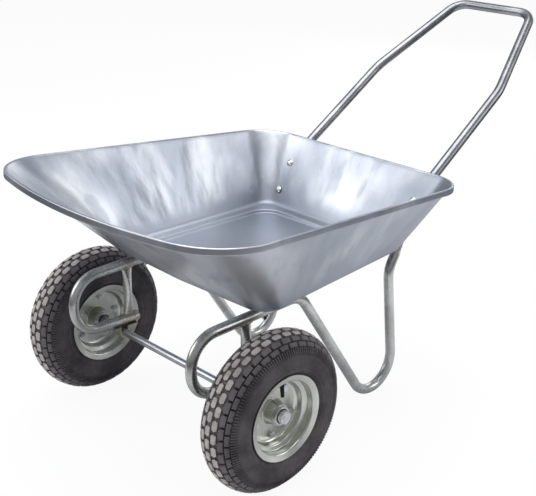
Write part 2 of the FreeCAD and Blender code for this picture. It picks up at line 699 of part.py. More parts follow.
# ---------------------------------------------------------------- push handle
def make_push_handle():
    """One bent tube: round U above, both ends pressed flat and kinked to lie on the rear wall."""
    body = new_body("push_handle")
    pitch = "(Sizes.handle_pitch * 1 deg)"
    tilt = (Vector(1, 0, 0), "Sizes.handle_pitch")
    behind_rim = ("0", "Sizes.handle_rim_y", "Sizes.handle_rim_z")
    spine = new_sketch(body, "centreline", "XY_Plane", behind_rim, tilt)
    arm = [
        ("Sizes.frame_half", "-Sizes.arm_end_run", "0"),
        ("Sizes.frame_half", "Sizes.arm_straight - Sizes.arm_end_run", "Sizes.arm_turn_radius"),
        ("Sizes.handle_bend_half", "Sizes.handle_bend_run", "Sizes.handle_bend_radius"),
        ("Sizes.handle_corner_half", "Sizes.handle_bar_run", "Sizes.handle_corner_radius"),
    ]
    draw_outline(spine, arm + [(f"-{x}", y, radius) for x, y, radius in reversed(arm)], closed=False)
    pipe_along(body, "tube", spine, "Sizes.tube_radius")
    pipe_along(body, "bore", spine, "Sizes.tube_radius - Sizes.tube_wall", "SubtractivePipe")

    end_y = "(Sizes.handle_rim_y - Sizes.arm_end_run * Sizes.arm_cos)"
    end_z = "(Sizes.handle_rim_z - Sizes.arm_end_run * Sizes.arm_sin)"
    middle_y = f"{end_y} - Sizes.flattening * Sizes.arm_cos"
    middle_z = f"{end_z} - Sizes.flattening * Sizes.arm_sin"
    round_end = section_at(body, "round_end", end_y, end_z, pitch)
    draw_circle(round_end, "Sizes.tube_radius", "Sizes.frame_half", ZERO)
    pressed = section_at(body, "pressed_end", middle_y, middle_z, pitch, "Sizes.pressed_out")
    draw_oval(pressed, *PRESSED_OVAL, "Sizes.frame_half")
    flattening = loft(body, "flattening", [round_end, pressed], ruled=False)
    side_view = new_sketch(body, "strip_side", "YZ_Plane", ("0", "0", "Sizes.frame_half"))
    draw_outline(side_view, strip_outline())
    strip = add(body, "Pad", "strip", side_view, Midplane=True, Length="Sizes.tab_width")
    both = mirror(body, "both_ends", [flattening, strip])
    tips = short_edges(both.Shape, size("tab_thickness"), size("ledge_height") + size("lower_bolt_up"))
    round_edges(body, "tips", both, tips, "Sizes.tab_width / 2 - Sizes.seat_gap")
    holes = wall_sketch(body, "hole_plan")
    draw_wall_holes(holes, WALL_HOLE, ("Sizes.lower_bolt_up", "Sizes.upper_bolt_up"))
    drill(body, "holes", holes, "30")
    on_axle_line(body)
    return body


def strip_outline():
    """Side view of a pressed end: up the wall from its tip, then turned to the arm's slope."""
    half = "Sizes.tab_thickness / 2"
    below = "(Sizes.kink_up - Sizes.lower_bolt_up + Sizes.tab_end)"
    above = "(Sizes.handle_strip + 1)"
    kink_y = "Sizes.floor_rear + Sizes.tab_middle * Sizes.wall_sin + Sizes.kink_up * Sizes.wall_cos"
    kink_z = "Sizes.ledge_height - Sizes.tab_middle * Sizes.wall_cos + Sizes.kink_up * Sizes.wall_sin"
    middle = "((Sizes.wall_pitch + Sizes.handle_pitch * 1 deg) / 2)"
    spread = f"({half}) / cos((Sizes.wall_pitch - Sizes.handle_pitch * 1 deg) / 2)"
    outline = []
    for sign, bend_radius in (("+", "Sizes.tab_thickness"), ("-", "2 * Sizes.tab_thickness")):
        low = (f"{kink_y} - {below} * Sizes.wall_cos {sign} {half} * Sizes.wall_sin",
               f"{kink_z} - {below} * Sizes.wall_sin - ({sign} {half}) * Sizes.wall_cos", "0")
        bend = (f"{kink_y} {sign} {spread} * sin({middle})",
                f"{kink_z} - ({sign} {spread}) * cos({middle})", bend_radius)
        high = (f"{kink_y} + {above} * Sizes.arm_cos {sign} {half} * Sizes.arm_sin",
                f"{kink_z} + {above} * Sizes.arm_sin - ({sign} {half}) * Sizes.arm_cos", "0")
        outline += [low, bend, high] if sign == "+" else [high, bend, low]
    return outline


# ---------------------------------------------------------------- wheels
def mirrored_section(half):
    """A closed section from its outboard half, mirrored in the wheel's middle plane."""
    return list(half) + [(x, f"-({y})", radius) for x, y, radius in reversed(half)]


def turned(label, outlines):
    """A body of revolution about local Z: the first outline is metal, the others are hollows."""
    body = new_body(label)
    for place, corners in enumerate(outlines):
        sketch = new_sketch(body, f"section_{place}", "XZ_Plane")
        draw_outline(sketch, corners)
        (groove if place else revolve)(body, f"turned_{place}", sketch)
    return body


def seat_in_wheel(body, side, sign):
    """Local Z points outboard along the axle and local X at the valve."""
    valve = math.radians(size("valve_angle_" + side))
    outboard = Vector(sign, 0, 0)
    radial = Vector(0, math.cos(valve), math.sin(valve))
    turn = Rotation(radial, outboard.cross(radial), outboard, "ZXY")
    body.Placement = Placement(Vector(), turn)
    body.setExpression("Placement.Base.x", f"{sign} * Sizes.wheel_track / 2")
    body.setExpression("Placement.Base.z", "Sizes.axle_height")
    on_axle_line(body)


def rim_half_section(face="Sizes.seat_gap"):
    """One pressed half: conical boss on the hub, flat disc, well, bead seat and rolled lip."""
    gauge = "Sizes.rim_sheet"
    hub = "Sizes.hub_end_radius + Sizes.seat_gap"
    return [
        (hub, "Sizes.boss_height", "0"),
        ("Sizes.hub_base_radius", face, "2"),
        ("Sizes.well_radius", face, f"Sizes.dish_fillet + {gauge}"),
        ("Sizes.well_radius", "Sizes.well_half", "1.5"),
        ("Sizes.seat_radius", "Sizes.well_half + Sizes.well_step", "3"),
        ("Sizes.seat_radius", "Sizes.seat_half", "3"),
        ("Sizes.rim_lip_radius", f"Sizes.rim_lip_half - 1.3 * {gauge}", "0"),
        ("Sizes.rim_lip_radius", "Sizes.rim_lip_half", "0.8"),
        (f"Sizes.seat_radius - {gauge}", f"Sizes.seat_half + {gauge}", "4"),
        (f"Sizes.seat_radius - {gauge}", f"Sizes.well_half + Sizes.well_step + 0.6 * {gauge}", "1.5"),
        (f"Sizes.well_radius - {gauge}", f"Sizes.well_half + 0.8 * {gauge}", "3"),
        (f"Sizes.well_radius - {gauge}", f"{face} + {gauge}", "Sizes.dish_fillet"),
        (f"Sizes.hub_base_radius + {gauge}", f"{face} + {gauge}", "3"),
        (f"{hub} + {gauge}", "Sizes.boss_height", "0"),
    ]


def valve_sketch(body, name):
    """A sketch in the valve's plane whose +y runs out along the valve from the well."""
    turn = (Vector(0, 0, 1), "90 - Sizes.valve_tilt")
    return new_sketch(body, name, "XZ_Plane", ("Sizes.well_radius", "Sizes.valve_axial", "0"), turn)


def valve_hole(body, name, radius, along, depth):
    """A round hole along the valve's line, centred `along` it from the well."""
    turn = (Vector(0, 1, 0), "Sizes.valve_tilt - 90")
    at = (f"Sizes.well_radius - {along} * cos(Sizes.valve_tilt * 1 deg)", "0",
          f"Sizes.valve_axial + {along} * sin(Sizes.valve_tilt * 1 deg)")
    sketch = new_sketch(body, name + "_plan", "XY_Plane", at, turn)
    draw_circle(sketch, radius)
    drill(body, name, sketch, depth)


def bolt_holes(body, side):
    sketch = new_sketch(body, "bolt_plan", "XY_Plane")
    draw_circle(sketch, "Sizes.rim_bolt / 2 + Sizes.hole_clearance", *rim_bolt_place(side))
    hole = drill(body, "bolt_hole", sketch, "12")
    spread_round(body, "bolt_holes", [hole], "Sizes.rim_bolt_count")


def rim_bolt_place(side):
    """Where the first rim bolt stands, in the wheel's own frame."""
    lag = f"(Sizes.rim_bolt_lag_{side} * 1 deg)"
    return f"Sizes.rim_bolt_circle / 2 * cos({lag})", f"Sizes.rim_bolt_circle / 2 * sin({lag})"


def make_rim_outer(side, sign):
    body = turned("rim_outer_" + side, [rim_half_section()])
    bolt_holes(body, side)
    valve_hole(body, "valve_hole", "Sizes.valve_diameter / 2 + Sizes.hole_clearance", ZERO, "14")
    seat_in_wheel(body, side, sign)
    return body


def make_rim_inner(side, sign):
    """The inboard half is the same pressing, turned over; it is drawn mirrored instead."""
    section = [(x, f"-({y})", radius) for x, y, radius in rim_half_section(ZERO)]
    body = turned("rim_inner_" + side, [section])
    bolt_holes(body, side)
    seat_in_wheel(body, side, sign)
    return body


def make_hub(side, sign):
    """Turned tube with a seat for a ball bearing at each end."""
    half = "Sizes.hub_length / 2"
    seat = "Sizes.bearing_outer / 2 + Sizes.running_clearance / 2"
    shoulder = f"{half} - Sizes.bearing_width"
    bore = "Sizes.bearing_outer / 2 - Sizes.race_thickness"
    body = turned("hub_" + side, [mirrored_section([
        (bore, shoulder, "0"), (seat, shoulder, "0"), (seat, half, "0"),
        ("Sizes.hub_end_radius", half, "0.6"),
    ])])
    seat_in_wheel(body, side, sign)
    return body


def race_section(inner, outer):
    half = "Sizes.hub_length / 2"
    low = f"{half} - Sizes.bearing_width + Sizes.running_clearance"
    return [(inner, low, "0.4"), (outer, low, "0.4"), (outer, half, "0.4"), (inner, half, "0.4")]


def ball_track(body, radius):
    """A circle for a ball or its track, at the middle of the outboard bearing."""
    middle = "Sizes.hub_length / 2 - Sizes.bearing_width / 2"
    sketch = new_sketch(body, "ball_section", "XZ_Plane", ("Sizes.ball_pitch", middle, "0"))
    draw_circle(sketch, radius)
    return sketch


def make_races(label, inner, outer, side, sign):
    """A pair of bearing rings with their ball tracks, one at each end of the hub."""
    body = turned(label + side, [race_section(inner, outer)])
    ring = body.Tip
    track = ball_track(body, "Sizes.ball_diameter / 2 + Sizes.ball_clearance")
    cut = add(body, "Groove", "track", track, ReferenceAxis=(origin_part(body, "Z_Axis"), [""]), Angle=360)
    mirror(body, "pair", [ring, cut], "XY_Plane")
    seat_in_wheel(body, side, sign)
    return body


def make_balls(side, sign):
    """Two rows of loose balls."""
    body = new_body("bearing_balls_" + side)
    middle = "Sizes.hub_length / 2 - Sizes.bearing_width / 2"
    radius = "Sizes.ball_diameter / 2"
    balls = []
    for end, sign_of in (("outboard", ""), ("inboard", "-")):
        at = ("Sizes.ball_pitch", f"{sign_of}({middle})", "0")
        sketch = new_sketch(body, "half_disc_" + end, "XZ_Plane", at)
        draw_half_disc(sketch, radius)
        balls.append(revolve(body, "ball_" + end, sketch))
    spread_round(body, "rows", balls, "Sizes.ball_count")
    seat_in_wheel(body, side, sign)
    return body


def draw_half_disc(sketch, radius):
    """The +x half of a disc, closed along the sketch's y axis."""
    reach = number(radius)
    circle = Part.Circle(Vector(), Vector(0, 0, 1), reach)
    arc = sketch.addGeometry(Part.ArcOfCircle(circle, -math.pi / 2, math.pi / 2))
    chord = sketch.addGeometry(Part.LineSegment(Vector(0, reach, 0), Vector(0, -reach, 0)))
    sketch.addConstraint(Sketcher.Constraint("Coincident", arc, 2, chord, 1))
    sketch.addConstraint(Sketcher.Constraint("Coincident", arc, 1, chord, 2))
    sketch.addConstraint(Sketcher.Constraint("Coincident", arc, 3, -1, 1))
    sketch.addConstraint(Sketcher.Constraint("Vertical", chord))
    bind(sketch, "Radius", (arc,), radius)


def make_tyre(side, sign):
    """Ribbed carcass: beads on the seats, bulged sidewalls, round shoulders and a flat crown."""
    gap = "Sizes.bead_gap"
    inside = "Sizes.tyre_diameter / 2 - Sizes.tread_thickness"
    body = turned("tyre_" + side, [mirrored_section([
        (inside, "Sizes.crown_half - Sizes.tyre_wall", "30"),
        ("Sizes.shoulder_radius - Sizes.tyre_wall", "Sizes.shoulder_half - 1.2 * Sizes.tyre_wall", "14"),
        ("Sizes.bulge_radius", "Sizes.tyre_half - Sizes.tyre_wall", "36"),
        ("Sizes.seat_radius + 2 * Sizes.tyre_wall", "Sizes.bead_toe + Sizes.tyre_wall", "6"),
        (f"Sizes.seat_radius + {gap}", "Sizes.bead_toe", "0"),
        (f"Sizes.seat_radius + {gap}", f"Sizes.seat_half - {gap}", "3"),
        ("Sizes.rim_lip_radius + Sizes.bead_gap", f"Sizes.rim_lip_half - 1.7 * Sizes.rim_sheet", "6"),
        ("Sizes.bulge_radius", "Sizes.tyre_half", "40"),
        ("Sizes.shoulder_radius", "Sizes.shoulder_half", "22"),
        ("Sizes.tyre_diameter / 2", "Sizes.crown_half", "40"),
    ])])
    seat_in_wheel(body, side, sign)
    return body


def inner_tube_section(skin):
    """Outline of the inflated tube, drawn in by `skin`, half of it."""
    inset = f"(Sizes.tube_gap + {skin})"
    return [
        (f"Sizes.tyre_diameter / 2 - Sizes.tread_thickness - {inset}",
         f"Sizes.crown_half - Sizes.tyre_wall - {inset}", f"30 - {inset}"),
        (f"Sizes.shoulder_radius - Sizes.tyre_wall - {inset}",
         f"Sizes.shoulder_half - 1.2 * Sizes.tyre_wall - {inset}", f"14 - {inset}"),
        ("Sizes.bulge_radius", f"Sizes.tyre_half - Sizes.tyre_wall - {inset}", f"36 - {inset}"),
        ("Sizes.seat_radius + 2 * Sizes.tyre_wall",
         f"Sizes.bead_toe + Sizes.tyre_wall - 1.6 * {inset}", "8"),
        (f"Sizes.well_radius + Sizes.tube_above_well + {skin}", f"Sizes.well_half - 2 * {inset}", f"8"),
    ]


def make_inner_tube(side, sign):
    """Butyl tube that fills the tyre; the hole at its valve opens the hollow."""
    outer = mirrored_section(inner_tube_section(ZERO))
    inner = mirrored_section(inner_tube_section("Sizes.tube_skin"))
    body = turned("inner_tube_" + side, [outer, inner])
    valve_hole(body, "air_hole", "Sizes.valve_bore / 2", "(-Sizes.tube_above_well)", "8")
    seat_in_wheel(body, side, sign)
    return body


def make_valve(side, sign):
    """Rubber valve stem with a foot on the tube and a threaded tip; it leans outboard."""
    body = new_body("valve_stem_" + side)
    radius = "Sizes.valve_diameter / 2"
    foot = "(Sizes.tube_above_well - 5 * Sizes.tube_gap)"
    sketch = valve_sketch(body, "section")
    draw_outline(sketch, [
        ("Sizes.valve_bore / 2", f"-{foot}", "0"),
        ("Sizes.valve_foot / 2", f"-{foot}", "0"),
        ("Sizes.valve_foot / 2", f"1 - {foot}", "0"),
        (radius, f"2 - {foot}", "0"),
        (radius, "Sizes.valve_length - Sizes.cap_length", "0.5"),
        (TIP_RADIUS, "Sizes.valve_length - Sizes.cap_length", "0"),
        (TIP_RADIUS, "Sizes.valve_length - 2", "0.3"),
        ("Sizes.valve_bore / 2", "Sizes.valve_length - 2", "0"),
    ])
    revolve(body, "stem", sketch)
    seat_in_wheel(body, side, sign)
    return body


def make_valve_cap(side, sign):
    body = new_body("valve_cap_" + side)
    low = "Sizes.valve_length - Sizes.cap_length + Sizes.seat_gap"
    sketch = valve_sketch(body, "section")
    draw_outline(sketch, [
        (f"{TIP_RADIUS} + Sizes.seat_gap", low, "0"),
        ("Sizes.valve_diameter / 2", low, "0"),
        ("Sizes.valve_diameter / 2 - 0.4", "Sizes.valve_length", "1"),
        (ZERO, "Sizes.valve_length", "0"),
        (ZERO, "Sizes.valve_length - 1.5", "0"),
        (f"{TIP_RADIUS} + Sizes.seat_gap", "Sizes.valve_length - 1.5", "0"),
    ])
    revolve(body, "cap", sketch)
    seat_in_wheel(body, side, sign)
    return body


# ---------------------------------------------------------------- fasteners
def draw_hexagon(sketch, flats, x="0", y="0"):
    corner = f"({flats}) / 2 / cos(30 deg)"
    draw_outline(sketch, [
        (f"{x} + {corner} * cos({60 * turn} deg)", f"{y} + {corner} * sin({60 * turn} deg)", "0")
        for turn in range(6)
    ])


def hex_piece(body, name, flats, height, start, x="0", y="0", bore=None, down=False):
    """A hexagon from the local height `start`, with a round bore if one is given."""
    sketch = new_sketch(body, name + "_plan", "XY_Plane", ("0", "0", start))
    draw_hexagon(sketch, flats, x, y)
    if bore:
        draw_circle(sketch, bore, x, y)
    return add(body, "Pad", name, sketch, Length=height, Reversed=down)


def round_piece(body, name, radius, height, start, x="0", y="0", bore=None, down=False):
    sketch = new_sketch(body, name + "_plan", "XY_Plane", ("0", "0", start))
    draw_circle(sketch, radius, x, y)
    if bore:
        draw_circle(sketch, bore, x, y)
    return add(body, "Pad", name, sketch, Length=height, Reversed=down)


def make_rim_bolts(side, sign):
    """Hexagon-head bolts that clamp the two rim halves; heads outboard, nuts inboard."""
    face = "(Sizes.rim_sheet + 2 * Sizes.seat_gap)"
    x, y = rim_bolt_place(side)
    body = new_body("rim_bolts_" + side)
    head = hex_piece(body, "head", "Sizes.rim_bolt_head", "Sizes.rim_bolt_head_height", face, x, y)
    reach = f"2 * {face} + Sizes.rim_nut_height + 2"
    shank = round_piece(body, "shank", "Sizes.rim_bolt / 2", reach, face, x, y, down=True)
    spread_round(body, "all", [head, shank], "Sizes.rim_bolt_count")
    seat_in_wheel(body, side, sign)
    return body


def make_rim_nuts(side, sign):
    x, y = rim_bolt_place(side)
    body = new_body("rim_nuts_" + side)
    bore = "Sizes.rim_bolt / 2 + Sizes.running_clearance"
    face = "-(Sizes.rim_sheet + 2 * Sizes.seat_gap)"
    nut = hex_piece(body, "nut", "Sizes.rim_bolt_head", "Sizes.rim_nut_height", face, x, y, bore, down=True)
    spread_round(body, "all", [nut], "Sizes.rim_bolt_count")
    seat_in_wheel(body, side, sign)
    return body


def place_on_wall(body):
    """Local Z leaves the rear wall outwards from its inner face; local Y runs down the wall."""
    body.Placement = Placement(Vector(), Rotation(Vector(1, 0, 0), 180 + size("wall_pitch")))
    body.setExpression("Placement.Base.y", "Sizes.axle_y + Sizes.floor_rear")
    body.setExpression("Placement.Base.z", "Sizes.ledge_height")


def place_under_floor(body):
    """Local Z runs down from the panel's underside, local Y forwards."""
    body.Placement = Placement(Vector(), Rotation(Vector(1, 0, 0), 180))
    body.setExpression("Placement.Base.y", "Sizes.axle_y + Sizes.floor_bolt_y")
    body.setExpression("Placement.Base.z", "Sizes.panel_height")


def make_bolts(label, half, up, stack, place, stand):
    """A pair of domed carriage bolts, heads in the tray, shanks through a stack of metal."""
    body = new_body(label)
    seat = f"-(Sizes.sheet_thickness + {stand})"
    dome = new_sketch(body, "dome_section", "XZ_Plane", (half, seat, up))
    head = "Sizes.wall_bolt_head / 2"
    draw_outline(dome, [
        (ZERO, f"-Sizes.wall_bolt_dome", "0"), (ZERO, ZERO, "0"), (head, ZERO, "0"),
        (head, "-Sizes.wall_bolt_dome / 3", "0"), (f"{head} / 2", "-0.93 * Sizes.wall_bolt_dome", "6"),
    ])
    cap = revolve(body, "dome", dome)
    reach = f"{stack} + Sizes.wall_washer_thickness + Sizes.wall_nut_height + Sizes.bolt_overhang"
    shank = round_piece(body, "shank", "Sizes.wall_bolt / 2", reach, f"{seat}", half, f"-({up})")
    mirror(body, "pair", [cap, shank])
    place(body)
    return body


def make_washers(label, half, up, stack, place):
    body = new_body(label)
    bore = "Sizes.wall_bolt / 2 + Sizes.running_clearance"
    ring = round_piece(body, "ring", "Sizes.wall_washer / 2", "Sizes.wall_washer_thickness",
                       stack, half, f"-({up})", bore)
    mirror(body, "pair", [ring])
    place(body)
    return body


def make_nuts(label, half, up, stack, place):
    body = new_body(label)
    bore = "Sizes.wall_bolt / 2 + Sizes.running_clearance"
    start = f"{stack} + Sizes.wall_washer_thickness + Sizes.seat_gap"
    flats = "Sizes.wall_nut_flats"
    nut = hex_piece(body, "nut", flats, "Sizes.wall_nut_height", start, half, f"-({up})", bore)
    mirror(body, "pair", [nut])
    place(body)
    return body


# ---------------------------------------------------------------- axle and what sits on it
def place_on_axle(body, side_sign=1):
    """Local Z runs out along the axle from the middle of the barrow."""
    body.Placement = Placement(Vector(), Rotation(Vector(0, 1, 0), 90 * side_sign))
    body.setExpression("Placement.Base.z", "Sizes.axle_height")
    on_axle_line(body)


def make_axle():
    body = new_body("axle")
    length = f"2 * {AXLE_HALF}"
    sketch = new_sketch(body, "section", "XY_Plane")
    draw_circle(sketch, "Sizes.axle_diameter / 2")
    rod = add(body, "Pad", "rod", sketch, Midplane=True, Length=length)
    ends = [f"Edge{place}" for place, edge in enumerate(rod.Shape.Edges, 1) if len(edge.Vertexes) == 1]
    chamfer = body.newObject("PartDesign::Chamfer", "ends")
    chamfer.Base = (rod, ends)
    chamfer.Size = 1.2
    doc.recompute()
    place_on_axle(body)
    return body


def make_axle_ring(label, outer, length, start, side_sign=None):
    """A tube or washer threaded on the axle, from `start` outwards; both sides if no side is given."""
    body = new_body(label)
    bore = "Sizes.axle_diameter / 2 + Sizes.running_clearance"
    ring = round_piece(body, "ring", outer, length, start, bore=bore)
    if side_sign is None:
        mirror(body, "pair", [ring], "XY_Plane")
    place_on_axle(body, side_sign or 1)
    return body


def make_axle_nuts():
    body = new_body("axle_nuts")
    bore = "Sizes.axle_diameter / 2 + Sizes.running_clearance"
    start = f"{AXLE_WASHER} + Sizes.washer_thickness + Sizes.seat_gap"
    nut = hex_piece(body, "nut", "Sizes.axle_nut_flats", "Sizes.axle_nut_height", start, bore=bore)
    mirror(body, "pair", [nut], "XY_Plane")
    place_on_axle(body)
    return body


# ---------------------------------------------------------------- assembly
def make_side(side, sign):
    """Everything that comes once on the left and once on the right."""
    pieces = [make_side_tube(side, sign), make_brace(side, sign), make_axle_bracket(side, sign)]
    for maker in (make_rim_outer, make_rim_inner, make_hub, make_balls, make_tyre, make_inner_tube,
                  make_valve, make_valve_cap, make_rim_bolts, make_rim_nuts):
        pieces.append(maker(side, sign))
    race = "Sizes.race_thickness"
    outer = "Sizes.bearing_outer / 2"
    inner = "Sizes.axle_diameter / 2 + Sizes.running_clearance"
    pieces.append(make_races("outer_races_", f"{outer} - {race}", outer, side, sign))
    pieces.append(make_races("inner_races_", inner, f"{inner} + {race}", side, sign))
    wide = f"{inner} + Sizes.sleeve_wall"
    hub_start = "Sizes.wheel_track / 2 - Sizes.hub_length / 2"
    bracket_end = "Sizes.frame_half + Sizes.bracket_width / 2 + Sizes.seat_gap"
    pieces.append(make_axle_ring(
        "axle_sleeve_" + side, wide, f"{hub_start} - ({bracket_end}) - Sizes.seat_gap", bracket_end, sign))
    pieces.append(make_axle_ring(
        "bearing_spacer_" + side, f"{inner} + {race} - 0.4",
        "Sizes.hub_length - 2 * Sizes.bearing_width - Sizes.seat_gap",
        f"{hub_start} + Sizes.bearing_width + Sizes.seat_gap / 2", sign))
    return pieces


def make_all():
    wall = ("Sizes.frame_half", place_on_wall)
    floor = ("Sizes.frame_half", place_under_floor)
    through_leg = "(Sizes.leg_tab_near + Sizes.tab_thickness + Sizes.seat_gap)"
    through_handle = "(Sizes.tab_thickness + 2 * Sizes.seat_gap)"
    through_tube = "(Sizes.tube_diameter + 2 * Sizes.seat_gap)"
    seated = "3 * Sizes.seat_gap"
    stacks = (
        ("lower_wall_", *wall, "Sizes.lower_bolt_up", through_leg, "Sizes.corner_stand"),
        ("upper_wall_", *wall, "Sizes.upper_bolt_up", through_handle, seated),
        ("floor_", *floor, ZERO, through_tube, seated),
    )
    pieces = [make_tray(), make_push_handle(), make_axle()]
    for label, half, place, up, stack, stand in stacks:
        pieces.append(make_bolts(label + "bolts", half, up, stack, place, stand))
        pieces.append(make_washers(label + "washers", half, up, stack, place))
        pieces.append(make_nuts(label + "nuts", half, up, stack, place))
    washer = ("Sizes.washer_diameter / 2", "Sizes.washer_thickness", AXLE_WASHER)
    pieces.append(make_axle_ring("axle_washers", *washer))
    pieces.append(make_axle_nuts())
    for side, sign in SIDES:
        pieces += make_side(side, sign)
    return pieces


def check(pieces):
    """No failed feature and no empty or faulty shape goes out."""
    doc.recompute()
    failed = [item.Label for item in doc.Objects if {"Invalid", "Error"} & set(item.State)]
    failed += [piece.Label for piece in pieces if piece.Shape.isNull() or not piece.Shape.isValid()]
    if failed:
        raise SystemExit("failed: " + ", ".join(failed))


fill_sheet()
parts = make_all()
check(parts)
os.makedirs("parts", exist_ok=True)
for part in parts:
    part.Shape.exportStep(f"parts/{part.Label}.step")
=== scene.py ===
"""Looks of a two-wheeled garden wheelbarrow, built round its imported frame.

Metres throughout: +Z up, ground at z = 0, -Y towards the nose of the tray, +Y towards the handle.
"""

import bmesh
import bpy
import math
from mathutils import Matrix, Vector, noise


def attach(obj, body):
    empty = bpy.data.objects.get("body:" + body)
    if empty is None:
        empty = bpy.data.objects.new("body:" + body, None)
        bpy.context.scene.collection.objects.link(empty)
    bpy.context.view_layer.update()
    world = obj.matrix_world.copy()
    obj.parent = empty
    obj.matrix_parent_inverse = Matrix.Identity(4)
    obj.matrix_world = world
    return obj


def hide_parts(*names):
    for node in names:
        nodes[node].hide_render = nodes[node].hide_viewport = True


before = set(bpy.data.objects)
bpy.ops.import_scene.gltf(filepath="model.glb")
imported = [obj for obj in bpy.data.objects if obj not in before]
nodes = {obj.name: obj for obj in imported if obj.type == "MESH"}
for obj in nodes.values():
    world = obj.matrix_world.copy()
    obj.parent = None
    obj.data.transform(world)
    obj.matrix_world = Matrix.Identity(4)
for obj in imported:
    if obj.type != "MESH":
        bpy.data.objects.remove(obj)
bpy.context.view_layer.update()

# ---------------------------------------------------------------- tray
# One millimetre of galvanised steel, deep-drawn in a press: a sunk floor panel in a ledge, sloping
# walls with round corners, and a rim that is folded out and turned down to stiffen the edge.
AXLE_Y = -0.4165
SHEET = 0.001
PANEL_TOP = 0.331
LEDGE_TOP = 0.339
RIM_HEIGHT = 0.542
RIM_FALL = math.radians(5.55)
NOSE_REACH = 0.242
BOW_RADIUS = 0.970
FLOOR_BOW = math.radians(2)
RIM_BOW = math.radians(12.5)
LIP_WIDTH = 0.005
LIP_DROP = 0.013
FOOT_RADIUS = 0.018
FOLD_RADIUS = 0.0024


def rounded_outline(half, arcs, sides):
    """Points round an outline that is alike on both sides of x = 0; corners are (x, y, radius)."""
    corners = list(half) + [(-x, y, r) for x, y, r in reversed(half) if x]
    arcs = list(arcs) + list(reversed(arcs[1:]))
    count = len(corners)
    runs = []
    for i, (x, y, r) in enumerate(corners):
        corner = Vector((x, y))
        before = (Vector(corners[i - 1][:2]) - corner).normalized()
        after = (Vector(corners[(i + 1) % count][:2]) - corner).normalized()
        angle = before.angle(after)
        centre = corner + (before + after).normalized() * r / math.sin(angle / 2)
        first = corner + before * r / math.tan(angle / 2) - centre
        last = corner + after * r / math.tan(angle / 2) - centre
        turn = first.angle(last)
        steps = arcs[i]
        run = []
        for k in range(steps + 1):
            share = k / steps
            near = math.sin((1 - share) * turn) / math.sin(turn)
            far = math.sin(share * turn) / math.sin(turn)
            run.append(centre + first * near + last * far)
        runs.append(run)
    points = []
    for i, run in enumerate(runs):
        points += run
        end = runs[(i + 1) % count][0]
        steps = sides[i]
        points += [run[-1].lerp(end, k / steps) for k in range(1, steps)]
    return points


ARC_STEPS = (24, 20, 16)           # round the bow, the front corners and the rear corners
SIDE_STEPS = (8, 26, 26, 26, 8)


def floor_ring(inset, z):
    """The outline on which the walls stand, drawn in by `inset`."""
    bow = 0.241 * math.tan(FLOOR_BOW)
    ring = rounded_outline(
        [(0, 0.020 + inset, BOW_RADIUS - inset),
         (0.241 - inset, 0.020 + bow + inset, 0.045 - inset),
         (0.210 - inset, 0.469 - inset, 0.036 - inset)], ARC_STEPS, SIDE_STEPS)
    return [Vector((p.x, p.y + AXLE_Y, z)) for p in ring]


def panel_ring(inset, z):
    """The outline of the sunk panel, drawn in by `inset`; its front side is all but straight."""
    ring = rounded_outline(
        [(0, 0.046 + inset - 0.0001, 0.900),
         (0.215 - inset, 0.046 + inset, 0.050 - inset),
         (0.184 - inset, 0.443 - inset, 0.050 - inset)], ARC_STEPS, SIDE_STEPS)
    return [Vector((p.x, p.y + AXLE_Y, z)) for p in ring]


def rim_ring(inset, drop):
    """A ring in the tilted plane of the rim, `drop` below it."""
    nose = -(NOSE_REACH - LIP_DROP * math.sin(RIM_FALL) + BOW_RADIUS * (1 / math.cos(RIM_BOW) - 1))
    front = nose + 0.355 * math.tan(RIM_BOW)
    cos, sin = math.cos(RIM_FALL), math.sin(RIM_FALL)
    ring = rounded_outline(
        [(0, (nose + inset) / cos, BOW_RADIUS - inset),
         (0.355 - inset, (front + inset) / cos, 0.136 - inset),
         (0.302 - inset, (0.570 - inset) / cos, 0.092 - inset)], ARC_STEPS, SIDE_STEPS)
    return [Vector((p.x, p.y * cos - drop * sin + AXLE_Y, RIM_HEIGHT - p.y * sin - drop * cos))
            for p in ring]


